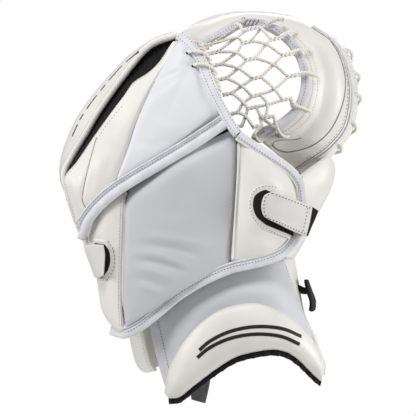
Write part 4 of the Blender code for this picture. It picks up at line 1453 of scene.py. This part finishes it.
hook_tab = leather_wall("wrist_hook_tab", HOOK,
    [[(66, -5, 100), (68, 0, 100), (69, 12, 99), (67, 24, 97)],
        [(68, -5, 88), (71, 0, 88), (73, 12, 88), (71, 24, 87)],
        [(72, -5, 76), (74, 0, 76), (77, 12, 77), (75, 24, 78)],
        [(71, -5, 66), (74, 0, 65), (77, 12, 67), (75, 24, 69)]], 3.0,
    (1.0, -0.2, 0.0), relief=fuzzy_edge, across=30, along=30, edge=1.0)
belongs(hook_tab, "wrist_tab", "black_hook_and_loop", "wrist_tab")
hook_root = leather_wall("hook_tab_root", HOOK, [[(57, -2, 92), (58, 8, 91), (57, 20, 90)],
        [(63, -4, 89), (65, 8, 88), (63, 20, 87)],
        [(68, -4, 87), (70, 8, 86), (69, 20, 86)]], 6.5,
    (0.0, -0.3, 1.0), across=16, along=20, edge=2.0)
belongs(hook_root, "wrist_tab", "black_hook_and_loop")
tail = leather_wall("pull_tail_web", WEBBING, [[(-54, -29, -2), (-57, -29, -18), (-56, -29, -28)],
        [(-44, -30, 1), (-47, -30, -16), (-48.5, -30, -30)],
        [(-34, -29, 4), (-37, -29, -14), (-41, -29, -32)]], 2.2, across=16, along=24, edge=1.1)
belongs(tail, "pull_tail", "dark_webbing", "pull_tail")
print("cuff done")

# %% [markdown]
# ## Palm side
# The catching palm is leather over foam, seen from the pocket. Each palm panel is built like the
# back panels but turned round: its face looks into the pocket.

# %% Palm panels


def pocket_pad(name, finish, rows, thick, puff, relief, across, along):
    """A panel whose finished face looks along +Y, into the pocket."""
    grid = surface(rows, across, along)
    nearest = edge_distance(grid)
    rise = puffed(nearest, puff) + relief(grid) * MM
    face = grid.copy()
    face[..., 1] += rise - edge_roll(nearest, 2.2 * MM)
    hand_side = grid - np.array([0.0, thick * MM, 0.0])
    hand_side[..., 1] = np.minimum(hand_side[..., 1], face[..., 1] - LEAST_THICKNESS)
    GRIDS[name] = face
    return shell(name, finish, face, hand_side)


def palm_stitches(prefix, body, panel, count, *lines):
    for number, line in enumerate(lines):
        stitch_row(f"{prefix}_{number}", body, drape(line, [panel], count, side=1.0))


PALM_FACE = 15
PALM_LEFT = [(-141, 104), (-152, 137), (-163, 164), (-172, 191), (-174, 216), (-157, 252),
    (-131, 291), (-101, 325), (-72, 348)]
PALM_RIGHT = [on_closing_line(z, -1.2) for z in (104, 140, 185, 226)]
PALM_RIGHT += [(4, 247), (-14, 279), (-32, 311), (-50, 342)]
palm_middle = [(-88, 104), (-92, 138), (-95, 172), (-94, 206), (-90, 236), (-86, 262),
    (-82, 290), (-76, 318), (-64, 345)]
palm_panel = pocket_pad("palm_panel", CREAM_SHADE, [deep(PALM_LEFT, PALM_FACE),
        deep(palm_middle, PALM_FACE), deep(PALM_RIGHT, PALM_FACE)], 12,
    puff=1.0, across=64, along=90,
    relief=folds(([(-112, 110), (-120, 160), (-128, 206)], 2.0, -1.4),
        ([(-68, 108), (-70, 160), (-66, 214)], 2.0, -1.4),
        ([(-150, 210), (-96, 222), (-44, 214)], 2.0, -1.4)))
belongs(palm_panel, "hand", "cream_leather", "palm")
palm_stitches("palm_stitches", "hand", "palm_panel", 90,
    [(-115, 112), (-123, 160), (-131, 204)], [(-65, 110), (-67, 160), (-63, 212)],
    [(-148, 213), (-96, 225), (-46, 217)], [(-150, 206), (-96, 218), (-44, 210)])
THUMB_LEFT = [on_closing_line(z, 1.2) for z in (104, 146, 188, 229)]
THUMB_RIGHT = [(32, 104), (44, 142), (60, 178), (70, 212)]
thumb_palm_panel = pocket_pad("thumb_palm_panel", CREAM_SHADE, [deep(THUMB_LEFT, PALM_FACE),
        deep(between(THUMB_LEFT, THUMB_RIGHT, 0.5), PALM_FACE),
        deep(THUMB_RIGHT, PALM_FACE)], 12, puff=1.0, across=32, along=50,
    relief=folds(([(10, 112), (24, 160), (38, 208)], 2.0, -1.2)))
belongs(thumb_palm_panel, "thumb", "cream_leather", "thumb_palm")
palm_stitches("thumb_palm_stitches", "thumb", "thumb_palm_panel", 60,
    [(8, 114), (21, 160), (35, 206)], [(13, 112), (27, 160), (41, 206)])

# %% [markdown]
# Inside, the hand lies on thin black lining, and each finger goes through its own padded loop. The
# loops are walls bent into a U, with a rib of binding at each mouth.

# %% Linings and loops
LINER_DEPTH = -0.8
FINGERS = [(-62, 262), (-84, 258), (-106, 250), (-127, 238)]
LOOP_HEIGHT = 26
THUMB_LOOP_HEIGHT = 28


def black_liner(name, body, node, outlines, across, along):
    """A thin ribbed lining on the hand's side of a palm panel."""
    rows = [deep(outline, LINER_DEPTH) for outline in outlines]
    item = pad(name, BLACK, rows, 2.0, roll=0.8, puff=0.0, across=across, along=along,
        relief=ribs(0.25, 1.6))
    belongs(item, body, "black_lining", node)


black_liner("palm_liner", "hand", "palm_lining",
    [PALM_LEFT, palm_middle, shifted(PALM_RIGHT, -3)], 50, 70)
black_liner("thumb_liner", "thumb", "thumb_lining", [shifted(THUMB_LEFT, 3), THUMB_RIGHT], 24, 44)


def hand_loop(name, body, node, low, high):
    """A sleeve for a finger between its low and its high mouth, each bound with a rib."""
    item = leather_wall(name, BLACK, [low, high], 2.2, across=14, along=44, edge=1.1)
    belongs(item, body, "black_lining", node)
    for side, edge_row in (("low", low), ("high", high)):
        path = route(edge_row, 40)
        belongs(sweep(f"{name}_{side}_binding", BIND, path, ellipse(1.6, 1.6, 10, 1.0),
                (0.0, 0.0, 1.0)), body, "bias_binding")


for i, (x, z) in enumerate(FINGERS):
    low = [(x - 8, -4, z), (x - 8, -15, z), (x, -22, z), (x + 8, -15, z), (x + 8, -4, z)]
    hand_loop(f"finger_sleeve_{i + 1}", "hand", f"finger_loop_{i + 1}", low,
        [(a, b, c + LOOP_HEIGHT) for a, b, c in low])
thumb_low = [(14, -4, 150), (13, -16, 152), (24, -24, 148), (37, -17, 146), (36, -4, 146)]
hand_loop("thumb_sleeve", "thumb", "thumb_loop", thumb_low,
    [(a + 6, b, c + THUMB_LOOP_HEIGHT) for a, b, c in thumb_low])
print(len(PIECES), "pieces made")
